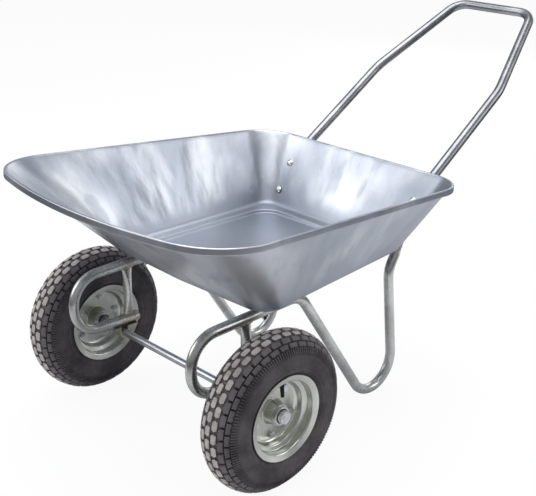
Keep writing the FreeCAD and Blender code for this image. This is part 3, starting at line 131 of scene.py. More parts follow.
def tray_rings():
    """Rings of the upper skin, from the middle of the floor panel to the edge of the lip."""
    rings = []
    centre = Vector((0, 0.245 + AXLE_Y, PANEL_TOP))
    edge = panel_ring(0.010, PANEL_TOP)
    for share in (0.02, 0.15, 0.3, 0.45, 0.6, 0.72, 0.82, 0.9, 0.96):
        rings.append([centre.lerp(p, share) for p in edge])
    for inset, rise in ((0.010, 0), (0.0055, 0.0001), (0.0035, 0.0006), (0.0022, 0.0016), (0.0012, 0.0034),
                        (0.0004, 0.0052), (-0.0008, 0.0067), (-0.0025, 0.0076), (-0.005, 0.008)):
        rings.append(panel_ring(inset, PANEL_TOP + rise))
    foot = floor_ring(0.0006, LEDGE_TOP)
    inner = floor_ring(0.010, LEDGE_TOP)
    top = rim_ring(LIP_WIDTH + 0.0006, 0)
    fillet = []
    for low, inward, high in zip(foot, inner, top):
        level = (inward - low).normalized()
        wall = (high - low).normalized()
        angle = level.angle(wall)
        reach = FOOT_RADIUS / math.tan(angle / 2)
        middle = low + (level + wall).normalized() * FOOT_RADIUS / math.sin(angle / 2)
        first = low + level * reach - middle
        last = low + wall * reach - middle
        turn = first.angle(last)
        fillet.append([
            middle + first * (math.sin((1 - k / 8) * turn) / math.sin(turn))
            + last * (math.sin(k / 8 * turn) / math.sin(turn)) for k in range(9)])
    rings += [[column[k] for column in fillet] for k in range(9)]
    bend = rim_ring(LIP_WIDTH + FOLD_RADIUS * 0.75, FOLD_RADIUS * 1.1)
    foot_end = rings[-1]
    for k in range(1, 25):
        rings.append([a.lerp(b, k / 24) for a, b in zip(foot_end, bend)])
    rings.append(rim_ring(LIP_WIDTH + FOLD_RADIUS * 0.3, FOLD_RADIUS * 0.45))
    rings.append(rim_ring(LIP_WIDTH - FOLD_RADIUS * 0.35, FOLD_RADIUS * 0.1))
    for k in range(0, 7):
        turn = math.pi / 2 * k / 6
        rings.append(rim_ring(FOLD_RADIUS * (1 - math.sin(turn)), FOLD_RADIUS * (1 - math.cos(turn))))
    for drop in (0.0045, 0.007, 0.0095, 0.0115, 0.0129):
        rings.append(rim_ring(0, drop))
    return rings


def mesh_piece(name, verts, faces):
    """A new object from plain lists of points and faces."""
    mesh = bpy.data.meshes.new(name)
    mesh.from_pydata([tuple(v) for v in verts], [], faces)
    mesh.update()
    mesh.shade_smooth()
    piece = bpy.data.objects.new(name, mesh)
    bpy.context.scene.collection.objects.link(piece)
    return piece


def ring_faces(rings, count):
    """Quads between neighbouring closed rings of `count` points each."""
    faces = []
    for a in range(rings - 1):
        low, high = a * count, (a + 1) * count
        for i in range(count):
            j = (i + 1) % count
            faces.append((low + i, low + j, high + j, high + i))
    return faces


def apply_modifiers(piece):
    """Works the modifiers into the mesh, so that the mesh holds what is seen."""
    bpy.context.view_layer.update()
    depsgraph = bpy.context.evaluated_depsgraph_get()
    done = bpy.data.meshes.new_from_object(piece.evaluated_get(depsgraph))
    piece.modifiers.clear()
    piece.data = done


def pressed_waves(point):
    """How far the press left the wall from true: soft waves, none at the bolts or the rim."""
    wall = min(1, max(0, (point.z - 0.362) / 0.04)) * min(1, max(0, (0.505 - point.z) / 0.05))
    clear = min(1, max(0, (Vector((abs(point.x) - 0.188, (point.y - 0.10) * 0.8)).length - 0.05) / 0.06))
    broad = noise.noise(Vector((point.x * 7, point.y * 7, point.z * 3.5)) + Vector((3.1, 0.4, 7.7)))
    fine = noise.noise(Vector((point.x * 19, point.y * 19, point.z * 8)) + Vector((9.2, 5.4, 1.7)))
    return (0.0011 * broad + 0.00035 * fine) * wall * clear


rings = tray_rings()
per_ring = len(rings[0])
verts = [p for ring in rings for p in ring]
faces = ring_faces(len(rings), per_ring) + [tuple(reversed(range(per_ring)))]
tray = mesh_piece("tray_pressing", verts, faces)
work = bmesh.new()
work.from_mesh(tray.data)
bmesh.ops.recalc_face_normals(work, faces=work.faces)
if max(work.faces, key=lambda f: len(f.verts)).normal.z < 0:
    bmesh.ops.reverse_faces(work, faces=work.faces)
work.normal_update()
for vert in work.verts:
    vert.co += vert.normal * pressed_waves(vert.co)
work.to_mesh(tray.data)
work.free()
skin = tray.modifiers.new("sheet", "SOLIDIFY")
skin.thickness = SHEET
skin.offset = -1
apply_modifiers(tray)


class Value:
    """One output of a finish's nodes, on which Python's own signs do the sums."""

    def __init__(self, finish, socket):
        self.finish = finish
        self.socket = socket

    def sum_node(self, operation, *terms):
        return self.finish.node("Math", {"operation": operation}, dict(enumerate(terms)))

    def __add__(self, other):
        return self.sum_node("ADD", self, other)

    def __sub__(self, other):
        return self.sum_node("SUBTRACT", self, other)

    def __rsub__(self, other):
        return self.sum_node("SUBTRACT", other, self)

    def __mul__(self, other):
        return self.sum_node("MULTIPLY", self, other)

    def __pow__(self, other):
        return self.sum_node("POWER", self, other)

    __radd__ = __add__
    __rmul__ = __mul__


class Finish:
    """A material, with one method that makes its nodes."""

    def __init__(self, name, **fixed):
        self.material = bpy.data.materials.new(name)
        self.material.use_nodes = True
        self.tree = self.material.node_tree
        self.shader = self.tree.nodes["Principled BSDF"]
        for key, value in fixed.items():
            self.shader.inputs[key.replace("_", " ")].default_value = value

    def node(self, kind, settings=None, sockets=None, output=0):
        """Makes a node: its settings first, then the values or links of its sockets."""
        made = self.tree.nodes.new("ShaderNode" + kind)
        for key, value in (settings or {}).items():
            setattr(made, key, value)
        for key, value in (sockets or {}).items():
            self.set(made.inputs[key], value)
        return Value(self, made.outputs[output])

    def set(self, socket, value):
        """Links a value to a socket, or writes a plain number or colour on it."""
        if isinstance(value, Value):
            self.tree.links.new(value.socket, socket)
        else:
            socket.default_value = value

    def where(self):
        """The point on the object, in metres."""
        return self.node("TexCoord", output="Object")

    def stretched(self, scale):
        """The same point, with each axis scaled."""
        return self.node("VectorMath", {"operation": "MULTIPLY"}, {0: self.where(), 1: scale})

    def cloud(self, scale, detail=3, rough=0.5, stretch=(1, 1, 1)):
        """Smooth mottling between 0 and 1."""
        sockets = {"Vector": self.stretched(stretch), "Scale": scale, "Detail": detail, "Roughness": rough}
        return self.node("TexNoise", None, sockets, "Fac")

    def band(self, value, low, high):
        """0 below `low`, 1 above `high`, smooth between them."""
        sockets = {"Value": value, "From Min": low, "From Max": high}
        return self.node("MapRange", {"interpolation_type": "SMOOTHSTEP"}, sockets, "Result")

    def mix(self, share, first, second):
        first, second = ((*c, 1) if isinstance(c, tuple) else c for c in (first, second))
        return self.node("Mix", {"data_type": "RGBA"}, {0: share, 6: first, 7: second}, 2)

    def colour(self, value):
        self.set(self.shader.inputs["Base Color"], value)

    def rough(self, value):
        self.set(self.shader.inputs["Roughness"], value)

    def relief(self, height, distance, strength=1.0):
        sockets = {"Height": height, "Distance": distance, "Strength": strength}
        bump = self.node("Bump", None, sockets, "Normal")
        self.set(self.shader.inputs["Normal"], bump)

    def near(self, point, radius):
        """1 at a place that is alike on both sides of x = 0, fading to 0 at `radius`."""
        mirrored = self.node("VectorMath", {"operation": "ABSOLUTE"}, {0: self.where()})
        apart = self.node("SeparateXYZ", None, {0: self.where()}, "Y")
        up = self.node("SeparateXYZ", None, {0: self.where()}, "Z")
        across = self.node("SeparateXYZ", None, {0: mirrored}, "X")
        squares = (across - point[0]) ** 2.0 + (apart - point[1]) ** 2.0 + (up - point[2]) ** 2.0
        return 1 - self.band(squares ** 0.5, 0.2 * radius, radius)

    def wear(self, *pieces):
        for piece in pieces:
            piece.data.materials.clear()
            piece.data.materials.append(self.material)


# Dipped zinc with long upright smears round the walls and calm on the floor; the low rear corners are
# greyed with painted shade.
NOISE_MIDDLE = 0.46
zinc_sheet = Finish("hot_dip_galvanised_sheet", Metallic=0.94)
offset = zinc_sheet.node("VectorMath", {"operation": "SUBTRACT"}, {0: zinc_sheet.where(), 1: (0, -0.19, 0)})
level = zinc_sheet.node("VectorMath", {"operation": "MULTIPLY"}, {0: offset, 1: (1, 1, 0)})
heading = zinc_sheet.node("VectorMath", {"operation": "NORMALIZE"}, {0: level})
height = zinc_sheet.node("VectorMath", {"operation": "MULTIPLY"}, {0: offset, 1: (0, 0, 1.6)})
upright = zinc_sheet.node("VectorMath", {"operation": "ADD"}, {0: heading, 1: height})
above = zinc_sheet.node("SeparateXYZ", None, {0: zinc_sheet.where()}, "Z")
wall = zinc_sheet.band(above, 0.342, 0.385)
run = zinc_sheet.node("TexNoise", None, {"Vector": upright, "Scale": 2.6, "Detail": 2}, "Fac")
run = NOISE_MIDDLE + wall * (run - NOISE_MIDDLE)
streak = zinc_sheet.node("TexNoise", None, {"Vector": upright, "Scale": 8, "Detail": 3}, "Fac")
streak = NOISE_MIDDLE + wall * (streak - NOISE_MIDDLE)
broad = zinc_sheet.cloud(4.2, 2, 0.5)
fine = zinc_sheet.cloud(85, 5, 0.6)
base = zinc_sheet.mix(zinc_sheet.band(run, 0.36, 0.62), (0.46, 0.50, 0.57), (0.76, 0.79, 0.84))
base = zinc_sheet.mix(zinc_sheet.band(streak, 0.52, 0.68) * 0.5, base, (0.40, 0.44, 0.52))
base = zinc_sheet.mix((1 - wall) * 0.6, base, (0.42, 0.46, 0.54))
# painted shade, mottled: the low rear corners and the back of the floor are darkened
painted_corner_shade = zinc_sheet.near((0.16, 0.05, 0.36), 0.24) * (0.35 + 0.5 * broad)
base = zinc_sheet.mix(painted_corner_shade, base, (0.20, 0.225, 0.28))
base = zinc_sheet.mix(zinc_sheet.band(fine, 0.58, 0.78) * 0.22, base, (0.88, 0.89, 0.91))
zinc_sheet.colour(base)
zinc_sheet.rough(0.17 + 0.16 * broad + 0.16 * streak + 0.05 * fine + 0.10 * (1 - wall))
zinc_sheet.relief(run * 1.0 + streak * 0.14 + broad * 0.3 + fine * 0.008, 0.020, 0.55)
zinc_sheet.wear(tray)
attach(tray, "frame")
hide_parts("tray")

# ---------------------------------------------------------------- frame tubes and braces
# Each side is one bent steel tube with a front loop and a V-shaped leg, and a short upright that is
# pressed flat at both ends and welded in; both are zinc plated after welding.
FRAME_HALF = 0.188
LOWER_RUN = 0.187
UPPER_RUN = 0.3189
BRACE_Y = 0.023 + AXLE_Y


def zinc_tube(name, dark, light, tint, rough):
    """Zinc plate on drawn tube: soft clouds, small stains and a burnt tint at the welds."""
    finish = Finish(name, Metallic=0.95)
    cloud = finish.cloud(11, 4, 0.6)
    stain = finish.cloud(55, 4, 0.6)
    base = finish.mix(finish.band(cloud, 0.34, 0.66), dark, light)
    base = finish.mix(finish.band(stain, 0.58, 0.76) * 0.35, base, tint)
    places = (((FRAME_HALF, BRACE_Y, LOWER_RUN), 0.055), ((FRAME_HALF, BRACE_Y, UPPER_RUN), 0.034),
              ((FRAME_HALF, 0.030 + AXLE_Y, LOWER_RUN - 0.01), 0.042))
    for place, radius in places:
        base = finish.mix(finish.near(place, radius) * finish.band(stain, 0.2, 0.7) * 0.8, base,
                          (0.50, 0.44, 0.34))
    finish.colour(base)
    finish.rough(rough + 0.16 * cloud + 0.10 * stain)
    finish.relief(cloud, 0.0006, 0.12)
    return finish


frame_zinc = zinc_tube(
    "zinc_plated_frame_tube", (0.53, 0.54, 0.52), (0.78, 0.79, 0.77), (0.40, 0.39, 0.35), 0.14)
for side in ("left", "right"):
    for piece in (nodes["side_tube_" + side], nodes["brace_" + side]):
        frame_zinc.wear(piece)


# ---------------------------------------------------------------- weld beads
# Short runs of melted steel where the brace meets both runs of its tube, and along
# the feet of the axle bracket; lumpy, a little darker than the plate.
def bead(points, thickness, closed, seed):
    """A lumpy rope of weld metal along points."""
    count = len(points)
    ring = 8
    verts = []
    for i, point in enumerate(points):
        after = points[(i + 1) % count] if closed or i < count - 1 else point
        before = points[i - 1] if closed or i > 0 else point
        along = (after - before).normalized()
        side = along.orthogonal().normalized()
        other = along.cross(side)
        lump = 0.86 + 0.22 * abs(math.sin(i * 1.05 + seed)) + 0.10 * math.sin(i * 0.37 + 2 * seed)
        end = 1 if closed else min(1, 0.35 + 0.5 * min(i, count - 1 - i))
        for k in range(ring):
            turn = 2 * math.pi * k / ring
            out = side * math.cos(turn) + other * math.sin(turn)
            verts.append(point + out * thickness * lump * end)
    faces = ring_faces(count, ring)
    if closed:
        last = (count - 1) * ring
        faces += [(last + k, last + (k + 1) % ring, (k + 1) % ring, k) for k in range(ring)]
    else:
        faces += [tuple(reversed(range(ring))), tuple((count - 1) * ring + k for k in range(ring))]
    return verts, faces


def joined(name, parts):
    """One object from several lists of points and faces, with its faces turned outwards."""
    verts = []
    faces = []
    for part_verts, part_faces in parts:
        faces += [tuple(i + len(verts) for i in face) for face in part_faces]
        verts += part_verts
    piece = mesh_piece(name, verts, faces)
    work = bmesh.new()
    work.from_mesh(piece.data)
    bmesh.ops.recalc_face_normals(work, faces=work.faces)
    work.to_mesh(piece.data)
    work.free()
    piece.data.shade_smooth()
    return piece


def lower_run(y):
    """Height of the lower run, which falls a little towards the leg, `y` behind the axle."""
    return LOWER_RUN + 0.008 / 0.162 * (0.045 - y)


def brace_weld(x, z, up):
    """The path round the flat foot of a brace on a tube whose centre is at z."""
    half_width, half_length, seat = 0.0042, 0.0170, 0.0113
    steps = 56
    path = []
    for k in range(steps):
        turn = 2 * math.pi * k / steps
        across = half_width * math.sin(turn)
        along = half_length * math.cos(turn)
        rise = math.sqrt(seat ** 2 - across ** 2)
        path.append(Vector((x + across, BRACE_Y + along, z + up * rise)))
    return path


def foot_weld(x, y, z):
    """A short path across the underside of the lower run, at the end of a bracket foot."""
    half_width, seat = 0.0085, 0.0112
    path = []
    for k in range(17):
        across = half_width * (k / 8 - 1)
        path.append(Vector((x + across, y, z - math.sqrt(seat ** 2 - across ** 2))))
    return path


weld_metal = Finish("weld_metal", Metallic=0.85)
lump = weld_metal.cloud(380, 4, 0.6)
weld_metal.colour(weld_metal.mix(weld_metal.band(lump, 0.35, 0.7), (0.30, 0.27, 0.22), (0.60, 0.56, 0.47)))
weld_metal.rough(0.34 + 0.25 * lump)
weld_metal.relief(lump, 0.0008, 0.5)
for side, sign in (("left", 1), ("right", -1)):
    x = sign * FRAME_HALF
    parts = [bead(brace_weld(x, lower_run(0.023), 1), 0.0017, True, 1.0 + sign),
             bead(brace_weld(x, UPPER_RUN, -1), 0.0017, True, 2.0 + sign),
             bead(foot_weld(x, AXLE_Y - 0.0262, lower_run(-0.026)), 0.0018, False, 3.0 + sign),
             bead(foot_weld(x, AXLE_Y + 0.0362, lower_run(0.036)), 0.0018, False, 4.0 + sign)]
    welds = joined("welds_" + side, parts)
    weld_metal.wear(welds)
    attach(welds, "frame")

# ---------------------------------------------------------------- axle and its brackets
# A bright drawn bar runs across under the frame in two hat-shaped straps of plated strip, with
# sleeves that keep the wheels clear of the frame and a nut and washer at each end.
bracket_zinc = zinc_tube("plated_strip", (0.50, 0.48, 0.42), (0.66, 0.64, 0.56), (0.40, 0.35, 0.27), 0.26)
for side in ("left", "right"):
    bracket_zinc.wear(nodes["axle_bracket_" + side])

bright_bar = Finish("bright_drawn_steel", Metallic=0.96)
scratch = bright_bar.cloud(40, 5, 0.6, (0.06, 1, 1))
smear = bright_bar.cloud(24, 3, 0.5)
base = bright_bar.mix(bright_bar.band(scratch, 0.4, 0.65), (0.52, 0.54, 0.57), (0.72, 0.74, 0.77))
bright_bar.colour(bright_bar.mix(bright_bar.band(smear, 0.55, 0.75) * 0.3, base, (0.38, 0.38, 0.37)))
bright_bar.rough(0.20 + 0.16 * scratch + 0.06 * smear)
bright_bar.relief(scratch, 0.0004, 0.3)
turned = [nodes["axle"]]
for side in ("left", "right"):
    turned += [nodes[kind + side] for kind in ("axle_sleeve_", "bearing_spacer_", "hub_")]
bright_bar.wear(*turned)

# ---------------------------------------------------------------- push handle
# The same tube, bent into a U with cranked arms; its two ends are pressed flat and lie on the rear wall of
# the tray. It is a little rougher than the frame, and its colour is painted darker as painted shade.
# painted shade: the handle wears a darker copy of the frame's zinc colours
shaded_handle_zinc = zinc_tube(
    "handle_tube_with_painted_shade", (0.27, 0.28, 0.30), (0.42, 0.43, 0.45), (0.20, 0.20, 0.20), 0.18)
shaded_handle_zinc.wear(nodes["push_handle"])

# ---------------------------------------------------------------- bolts, washers and nuts
# Dome-headed bolts hold the tray on the tubes and the two halves of each rim together; all of them are
# bright zinc plated, with patches of grime.
bolt_zinc = Finish("bright_zinc_fasteners", Metallic=0.97)
grime = bolt_zinc.cloud(210, 4, 0.6)
glint = bolt_zinc.cloud(90, 2, 0.5)
base = bolt_zinc.mix(bolt_zinc.band(glint, 0.35, 0.65), (0.66, 0.68, 0.70), (0.83, 0.84, 0.85))
bolt_zinc.colour(bolt_zinc.mix(bolt_zinc.band(grime, 0.60, 0.78) * 0.5, base, (0.34, 0.33, 0.30)))
bolt_zinc.rough(0.16 + 0.20 * grime)
bolt_zinc.relief(grime, 0.0003, 0.4)
for name, node in nodes.items():
    if any(word in name for word in ("bolts", "nuts", "washers")):
        bolt_zinc.wear(node)

# ---------------------------------------------------------------- rims and bearings
# Each rim is two dished halves pressed from sheet and bolted back to back round the hub; the zinc
# plate has a warm greenish passivation. Ball bearings sit in both ends of the hub.
rim_zinc = Finish("yellowish_zinc_rim", Metallic=0.92)
cloud = rim_zinc.cloud(15, 4, 0.6)
speck = rim_zinc.cloud(120, 5, 0.65)
middle = rim_zinc.near((0.282, AXLE_Y, 0.165), 0.062)
base = rim_zinc.mix(rim_zinc.band(cloud, 0.32, 0.68), (0.64, 0.65, 0.60), (0.84, 0.85, 0.80))
base = rim_zinc.mix(middle * 0.55 * rim_zinc.band(cloud, 0.25, 0.6), base, (0.24, 0.25, 0.16))
base = rim_zinc.mix(rim_zinc.band(speck, 0.60, 0.78) * 0.20, base, (0.34, 0.34, 0.29))
rim_zinc.colour(base)
rim_zinc.rough(0.14 + 0.14 * cloud + 0.06 * speck)
rim_zinc.relief(cloud + speck * 0.06, 0.0016, 0.30)

race_steel = Finish("ground_bearing_steel", Metallic=1.0)
grease = race_steel.cloud(160, 3, 0.5)
race_steel.colour(race_steel.mix(race_steel.band(grease, 0.5, 0.7), (0.70, 0.71, 0.73), (0.42, 0.40, 0.36)))
race_steel.rough(0.10 + 0.25 * grease)
for side in ("left", "right"):
    rim_zinc.wear(nodes["rim_outer_" + side], nodes["rim_inner_" + side])
    race_steel.wear(*[nodes[kind + side] for kind in ("inner_races_", "outer_races_", "bearing_balls_")])

# ---------------------------------------------------------------- tyres
# Pneumatic 330 mm tyres in moulded rubber: a round section with three rows of worn six-sided blocks
# on the crown, two rows of shoulder blocks each side, short ribs and raised rings on the walls.
TYRE_X = 0.282
TYRE_Z = 0.165
CROWN_RADIUS = 0.1646
SECTION = 0.0430
SECTION_HALF = 0.0445
SECTION_MEAN = 0.0437
BLOCKS = 38
RIBS = 4 * BLOCKS
HEXAGON_ARC = 0.0141               # how far each row lies from the crown, along the section
SHOULDER_ARC = 0.0278
OUTER_SHOULDER_ARC = 0.0405
RIB_ARC = 0.0545
TREAD_DEPTH = 0.0050


def section_point(arc, lift=0.0):
    """(x, r) on the round section, `arc` metres from the crown along it, raised by `lift`."""
    turn = arc / SECTION_MEAN
    x, r = SECTION_HALF * math.sin(turn), CROWN_RADIUS - SECTION + SECTION * math.cos(turn)
    out = Vector((math.sin(turn) / SECTION_HALF, math.cos(turn) / SECTION)).normalized()
    return x + out.x * lift, r + out.y * lift


def on_wheel(x, r, angle):
    """A point of a wheel in the middle plane x = 0, at radius r."""
    return Vector((x, AXLE_Y + r * math.cos(angle), TYRE_Z + r * math.sin(angle)))


def carcass():
    """The closed section of the casing under the tread, from bead to bead and back inside."""
    half = []
    for k in range(29):
        arc = 0.0700 * k / 28
        sunk = -TREAD_DEPTH * (1 - min(1, max(0, (arc - 0.0455) / 0.010)))
        x, r = section_point(arc, sunk)
        half.append((x, r))
    half += [(0.0440, 0.1090), (0.0445, 0.1062), (0.0444, 0.1040), (0.0438, 0.1022), (0.0446, 0.1000),
             (0.0446, 0.0978), (0.0436, 0.0955), (0.0424, 0.0935), (0.0402, 0.0912), (0.0388, 0.0893),
             (0.0386, 0.0860), (0.0380, 0.0800), (0.0350, 0.0768), (0.0300, 0.0764), (0.0250, 0.0768),
             (0.0240, 0.0800), (0.0330, 0.0905), (0.0385, 0.1050), (0.0385, 0.1220), (0.0340, 0.1380),
             (0.0230, 0.1500), (0.0100, 0.1560)]
    ring = half + [(0.0, 0.1565)] + [(-x, r) for x, r in reversed(half[1:])]
    return ring


def block(outline, height, draft, bevel):
    """A tread block, sunk into the casing; its outline's points are (along, across)."""
    path = []
    for (u0, v0), (u1, v1) in zip(outline, outline[1:] + outline[:1]):
        steps = max(1, round(math.hypot(u1 - u0, v1 - v0) / 0.004))
        path += [(u0 + (u1 - u0) * k / steps, v0 + (v1 - v0) * k / steps) for k in range(steps)]
    levels = ((1.0 + draft, -0.0012), (1.0 + draft * 0.9, 0.0006), (1.0, height - bevel), (0.93, height),
              (0.5, height + 0.00005))
    points = []
    for share, lift in levels:
        points += [(u * share, v * share, lift - TREAD_DEPTH) for u, v in path]
    count = len(path)
    points.append((0, 0, height + 0.00008 - TREAD_DEPTH))
    faces = ring_faces(len(levels), count) + [tuple(reversed(range(count)))]
    last = (len(levels) - 1) * count
    faces += [(last + i, last + (i + 1) % count, len(points) - 1) for i in range(count)]
    worn = [n for n, face in enumerate(faces) if min(face) >= 2 * count and max(face) >= 3 * count]
    return points, faces, worn


HEXAGON = [(0.0108, 0.0000), (0.0080, 0.0053), (-0.0080, 0.0053),
           (-0.0108, 0.0000), (-0.0080, -0.0053), (0.0080, -0.0053)]
SHOULDER = [(0.0104, 0.0052), (-0.0104, 0.0052), (-0.0104, -0.0030),
            (-0.0074, -0.0056), (0.0074, -0.0056), (0.0104, -0.0030)]
OUTER_SHOULDER = [(0.0098, 0.0050), (0.0020, 0.0054), (0.0004, 0.0030), (-0.0020, 0.0054),
                  (-0.0098, 0.0050), (-0.0104, -0.0050), (0.0104, -0.0050)]
RIB = [(0.0012, 0.0075), (-0.0012, 0.0075), (-0.0016, -0.0075), (0.0016, -0.0075)]


def tyre_parts():
    """Points and faces of one tyre, and which of its faces are worn tops of blocks."""
    verts, faces, worn = [], [], []
    segments = 228
    ring = carcass()
    for k in range(segments):
        angle = 2 * math.pi * k / segments
        verts += [on_wheel(x, r, angle) for x, r in ring]
    count = len(ring)
    for k in range(segments):
        low, high = k * count, ((k + 1) % segments) * count
        faces += [(low + i, low + (i + 1) % count, high + (i + 1) % count, high + i) for i in range(count)]
    rows = [(HEXAGON, 0, TREAD_DEPTH, 0.0, True)]
    for flip in (1, -1):
        rows += [(HEXAGON, flip * HEXAGON_ARC, TREAD_DEPTH, 0.5, True),
                 (SHOULDER, flip * SHOULDER_ARC, TREAD_DEPTH - 0.0002, 0.0, False),
                 (OUTER_SHOULDER, flip * OUTER_SHOULDER_ARC, TREAD_DEPTH - 0.0006, 0.5, False)]
    for outline, arc, height, phase, light in rows:
        points, block_faces, tops = block(outline, height, 0.07, 0.0007)
        flip = -1 if arc < 0 else 1
        for n in range(BLOCKS):
            start = len(verts)
            first_face = len(faces)
            for u, v, lift in points:
                x, r = section_point(arc + flip * v, lift)
                _, plain = section_point(arc)
                verts.append(on_wheel(x, r, 2 * math.pi * (n + phase) / BLOCKS + u / plain))
            faces += [tuple(start + i for i in face) for face in block_faces]
            if light:
                worn += [first_face + i for i in tops]
    for flip in (1, -1):
        points, block_faces, _ = block(RIB, TREAD_DEPTH + 0.0008, 0.1, 0.0004)
        for n in range(RIBS):
            start = len(verts)
            for u, v, lift in points:
                x, r = section_point(flip * (RIB_ARC + v), lift + 0.0002)
                verts.append(on_wheel(x, r, 2 * math.pi * n / RIBS + u / 0.136))
            faces += [tuple(start + i for i in face) for face in block_faces]
    return verts, faces, worn


rubber = Finish("moulded_rubber", Specular_IOR_Level=0.42)
dust = rubber.cloud(16, 5, 0.65)
grain = rubber.cloud(300, 4, 0.6)
centred = rubber.node("VectorMath", {"operation": "SUBTRACT"}, {0: rubber.where(), 1: (0, AXLE_Y, TYRE_Z)})
turning = rubber.node("VectorMath", {"operation": "MULTIPLY"}, {0: centred, 1: (0, 1, 1)})
radius = rubber.node("VectorMath", {"operation": "LENGTH"}, {0: turning}, "Value")
base = rubber.mix(rubber.band(dust, 0.32, 0.68), (0.050, 0.044, 0.048), (0.135, 0.120, 0.130))
dusty = rubber.band(radius, 0.132, 0.160) * (0.35 + 0.65 * dust)
base = rubber.mix(dusty, base, (0.29, 0.265, 0.275))
rubber.colour(rubber.mix(rubber.band(grain, 0.55, 0.8) * 0.3, base, (0.16, 0.145, 0.14)))
rubber.rough(0.50 + 0.22 * dust)
rubber.relief(grain * 0.7 + dust * 0.3, 0.0006, 0.5)

worn_rubber = Finish("worn_tread_face", Roughness=0.8)
patch = worn_rubber.cloud(45, 4, 0.6)
scuff = worn_rubber.cloud(420, 4, 0.7)
base = worn_rubber.mix(worn_rubber.band(patch, 0.3, 0.7), (0.58, 0.54, 0.51), (0.84, 0.79, 0.75))
worn_rubber.colour(worn_rubber.mix(worn_rubber.band(scuff, 0.52, 0.75) * 0.4, base, (0.30, 0.27, 0.26)))
worn_rubber.relief(scuff, 0.0005, 0.5)

tyre_verts, tyre_faces, worn_faces = tyre_parts()
for side, sign in (("left", 1), ("right", -1)):
    shift = Vector((sign * TYRE_X, 0, 0))
    tyre = mesh_piece("tyre_moulding_" + side, [v + shift for v in tyre_verts], tyre_faces)
    tyre.data.materials.append(rubber.material)
    tyre.data.materials.append(worn_rubber.material)
    for face in worn_faces:
        tyre.data.polygons[face].material_index = 1
    work = bmesh.new()
    work.from_mesh(tyre.data)
    bmesh.ops.recalc_face_normals(work, faces=work.faces)
    work.to_mesh(tyre.data)
    work.free()
    tyre.data.shade_smooth()
    tyre.data.set_sharp_from_angle(angle=math.radians(38))
    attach(tyre, "wheel_" + side)
    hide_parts("tyre_" + side)

# ---------------------------------------------------------------- inner tubes, valves and caps
# Butyl rubber inside the tyre, a moulded stem through the well of the rim, and a black plastic cap
# on it.
black_rubber = Finish("black_valve_rubber", Specular_IOR_Level=0.4)
bloom = black_rubber.cloud(220, 4, 0.6)
base = black_rubber.mix(black_rubber.band(bloom, 0.4, 0.75), (0.010, 0.010, 0.011), (0.035, 0.034, 0.034))
black_rubber.colour(base)
black_rubber.rough(0.42 + 0.25 * bloom)
black_rubber.relief(bloom, 0.0003, 0.4)
cap_plastic = Finish("black_cap_plastic", Specular_IOR_Level=0.5)
rub = cap_plastic.cloud(300, 3, 0.5)
base = cap_plastic.mix(cap_plastic.band(rub, 0.5, 0.8), (0.008, 0.008, 0.009), (0.030, 0.030, 0.031))
cap_plastic.colour(base)
cap_plastic.rough(0.30 + 0.20 * rub)
for side in ("left", "right"):
    black_rubber.wear(nodes["inner_tube_" + side], nodes["valve_stem_" + side])
    cap_plastic.wear(nodes["valve_cap_" + side])

# ---------------------------------------------------------------- studio
# A plain pale floor and four soft boxes: overhead, front left, back right and back. The floor is nearly
# white to the eye; what the metal mirrors of it is a painted pool of light that falls off to grey beyond
# the barrow.
bpy.ops.mesh.primitive_plane_add(size=60, location=(0, 0, 0))
floor = bpy.context.object
floor.name = "studio_floor"
floor_paint = Finish("pale_floor", Roughness=0.9, Specular_IOR_Level=0.1)
reach = floor_paint.node("VectorMath", {"operation": "LENGTH"}, {0: floor_paint.where()}, "Value")
# painted pool of light: the floor colour that the metal's reflections see is pale within 0.7 m and grey
# beyond 1.7 m
painted_light_pool = floor_paint.mix(floor_paint.band(reach, 0.7, 1.7), (0.86, 0.86, 0.87), (0.17, 0.17, 0.175))
floor_paint.colour(painted_light_pool)
glow = floor_paint.node("Emission", None, {"Color": (1, 1, 1, 1), "Strength": 1.03})
matt = floor_paint.node("BsdfDiffuse", None, {"Color": (0.9, 0.9, 0.9, 1)})
seen = floor_paint.node("MixShader", None, {0: 0.90, 1: matt, 2: glow})
plain = Value(floor_paint, floor_paint.shader.outputs[0])
direct = floor_paint.node("LightPath", None, None, "Is Camera Ray")
both = floor_paint.node("MixShader", None, {0: direct, 1: plain, 2: seen})
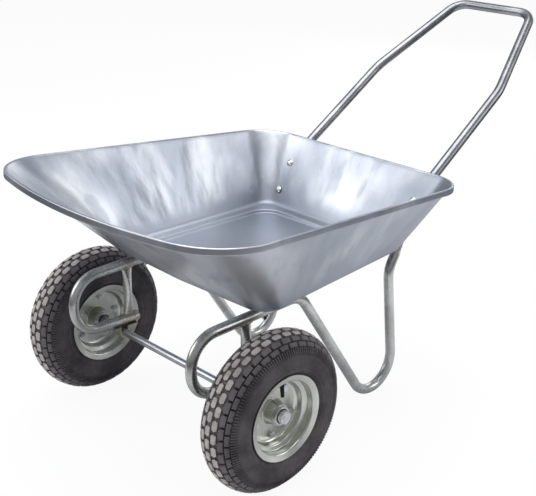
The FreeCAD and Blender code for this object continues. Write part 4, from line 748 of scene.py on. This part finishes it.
floor_paint.set(floor_paint.tree.nodes["Material Output"].inputs["Surface"], both)
floor.data.materials.append(floor_paint.material)

world = bpy.data.worlds.new("studio")
bpy.context.scene.world = world
world.use_nodes = True
sky = world.node_tree
background = sky.nodes["Background"]
background.inputs["Color"].default_value = (0.30, 0.305, 0.32, 1)
background.inputs["Strength"].default_value = 1.0


def soft_light(name, place, target, width, height, power):
    """A rectangular soft box that faces its target."""
    lamp = bpy.data.lights.new(name, "AREA")
    lamp.shape = "RECTANGLE"
    lamp.size = width
    lamp.size_y = height
    lamp.energy = power
    holder = bpy.data.objects.new(name, lamp)
    bpy.context.scene.collection.objects.link(holder)
    holder.location = place
    away = Vector(target) - Vector(place)
    holder.rotation_euler = away.to_track_quat("-Z", "Y").to_euler()
    return holder


soft_light("overhead_soft_box", (-0.2, -0.2, 3.0), (0, 0, 0.3), 2.6, 2.6, 62)
soft_light("front_left_soft_box", (-2.7, -2.6, 2.1), (0, 0, 0.4), 2.6, 2.2, 38)
soft_light("back_right_soft_box", (2.7, 2.5, 1.9), (0, 0, 0.4), 1.8, 2.0, 22)
soft_light("back_soft_box", (-1.2, 3.3, 1.25), (0, 0, 0.4), 3.0, 1.5, 19)

lens = bpy.data.cameras.new("camera")
lens.lens = 71.19
lens.sensor_width = 36
camera = bpy.data.objects.new("camera", lens)
bpy.context.scene.collection.objects.link(camera)
azimuth, elevation, roll = math.radians(45.661), math.radians(22.733), math.radians(0.1315)
level_reach = math.cos(elevation)
back = Vector((level_reach * math.sin(azimuth), -level_reach * math.cos(azimuth), math.sin(elevation)))
right = Vector((0, 0, 1)).cross(back).normalized()
up = back.cross(right)
turned_up = up * math.cos(roll) + right * math.sin(roll)
turned_right = right * math.cos(roll) - up * math.sin(roll)
camera.matrix_world = Matrix((
    (turned_right.x, turned_up.x, back.x, 1.5246),
    (turned_right.y, turned_up.y, back.y, -1.6388),
    (turned_right.z, turned_up.z, back.z, 1.2309),
    (0, 0, 0, 1)))
bpy.context.scene.camera = camera
bpy.context.scene.view_settings.view_transform = "Standard"
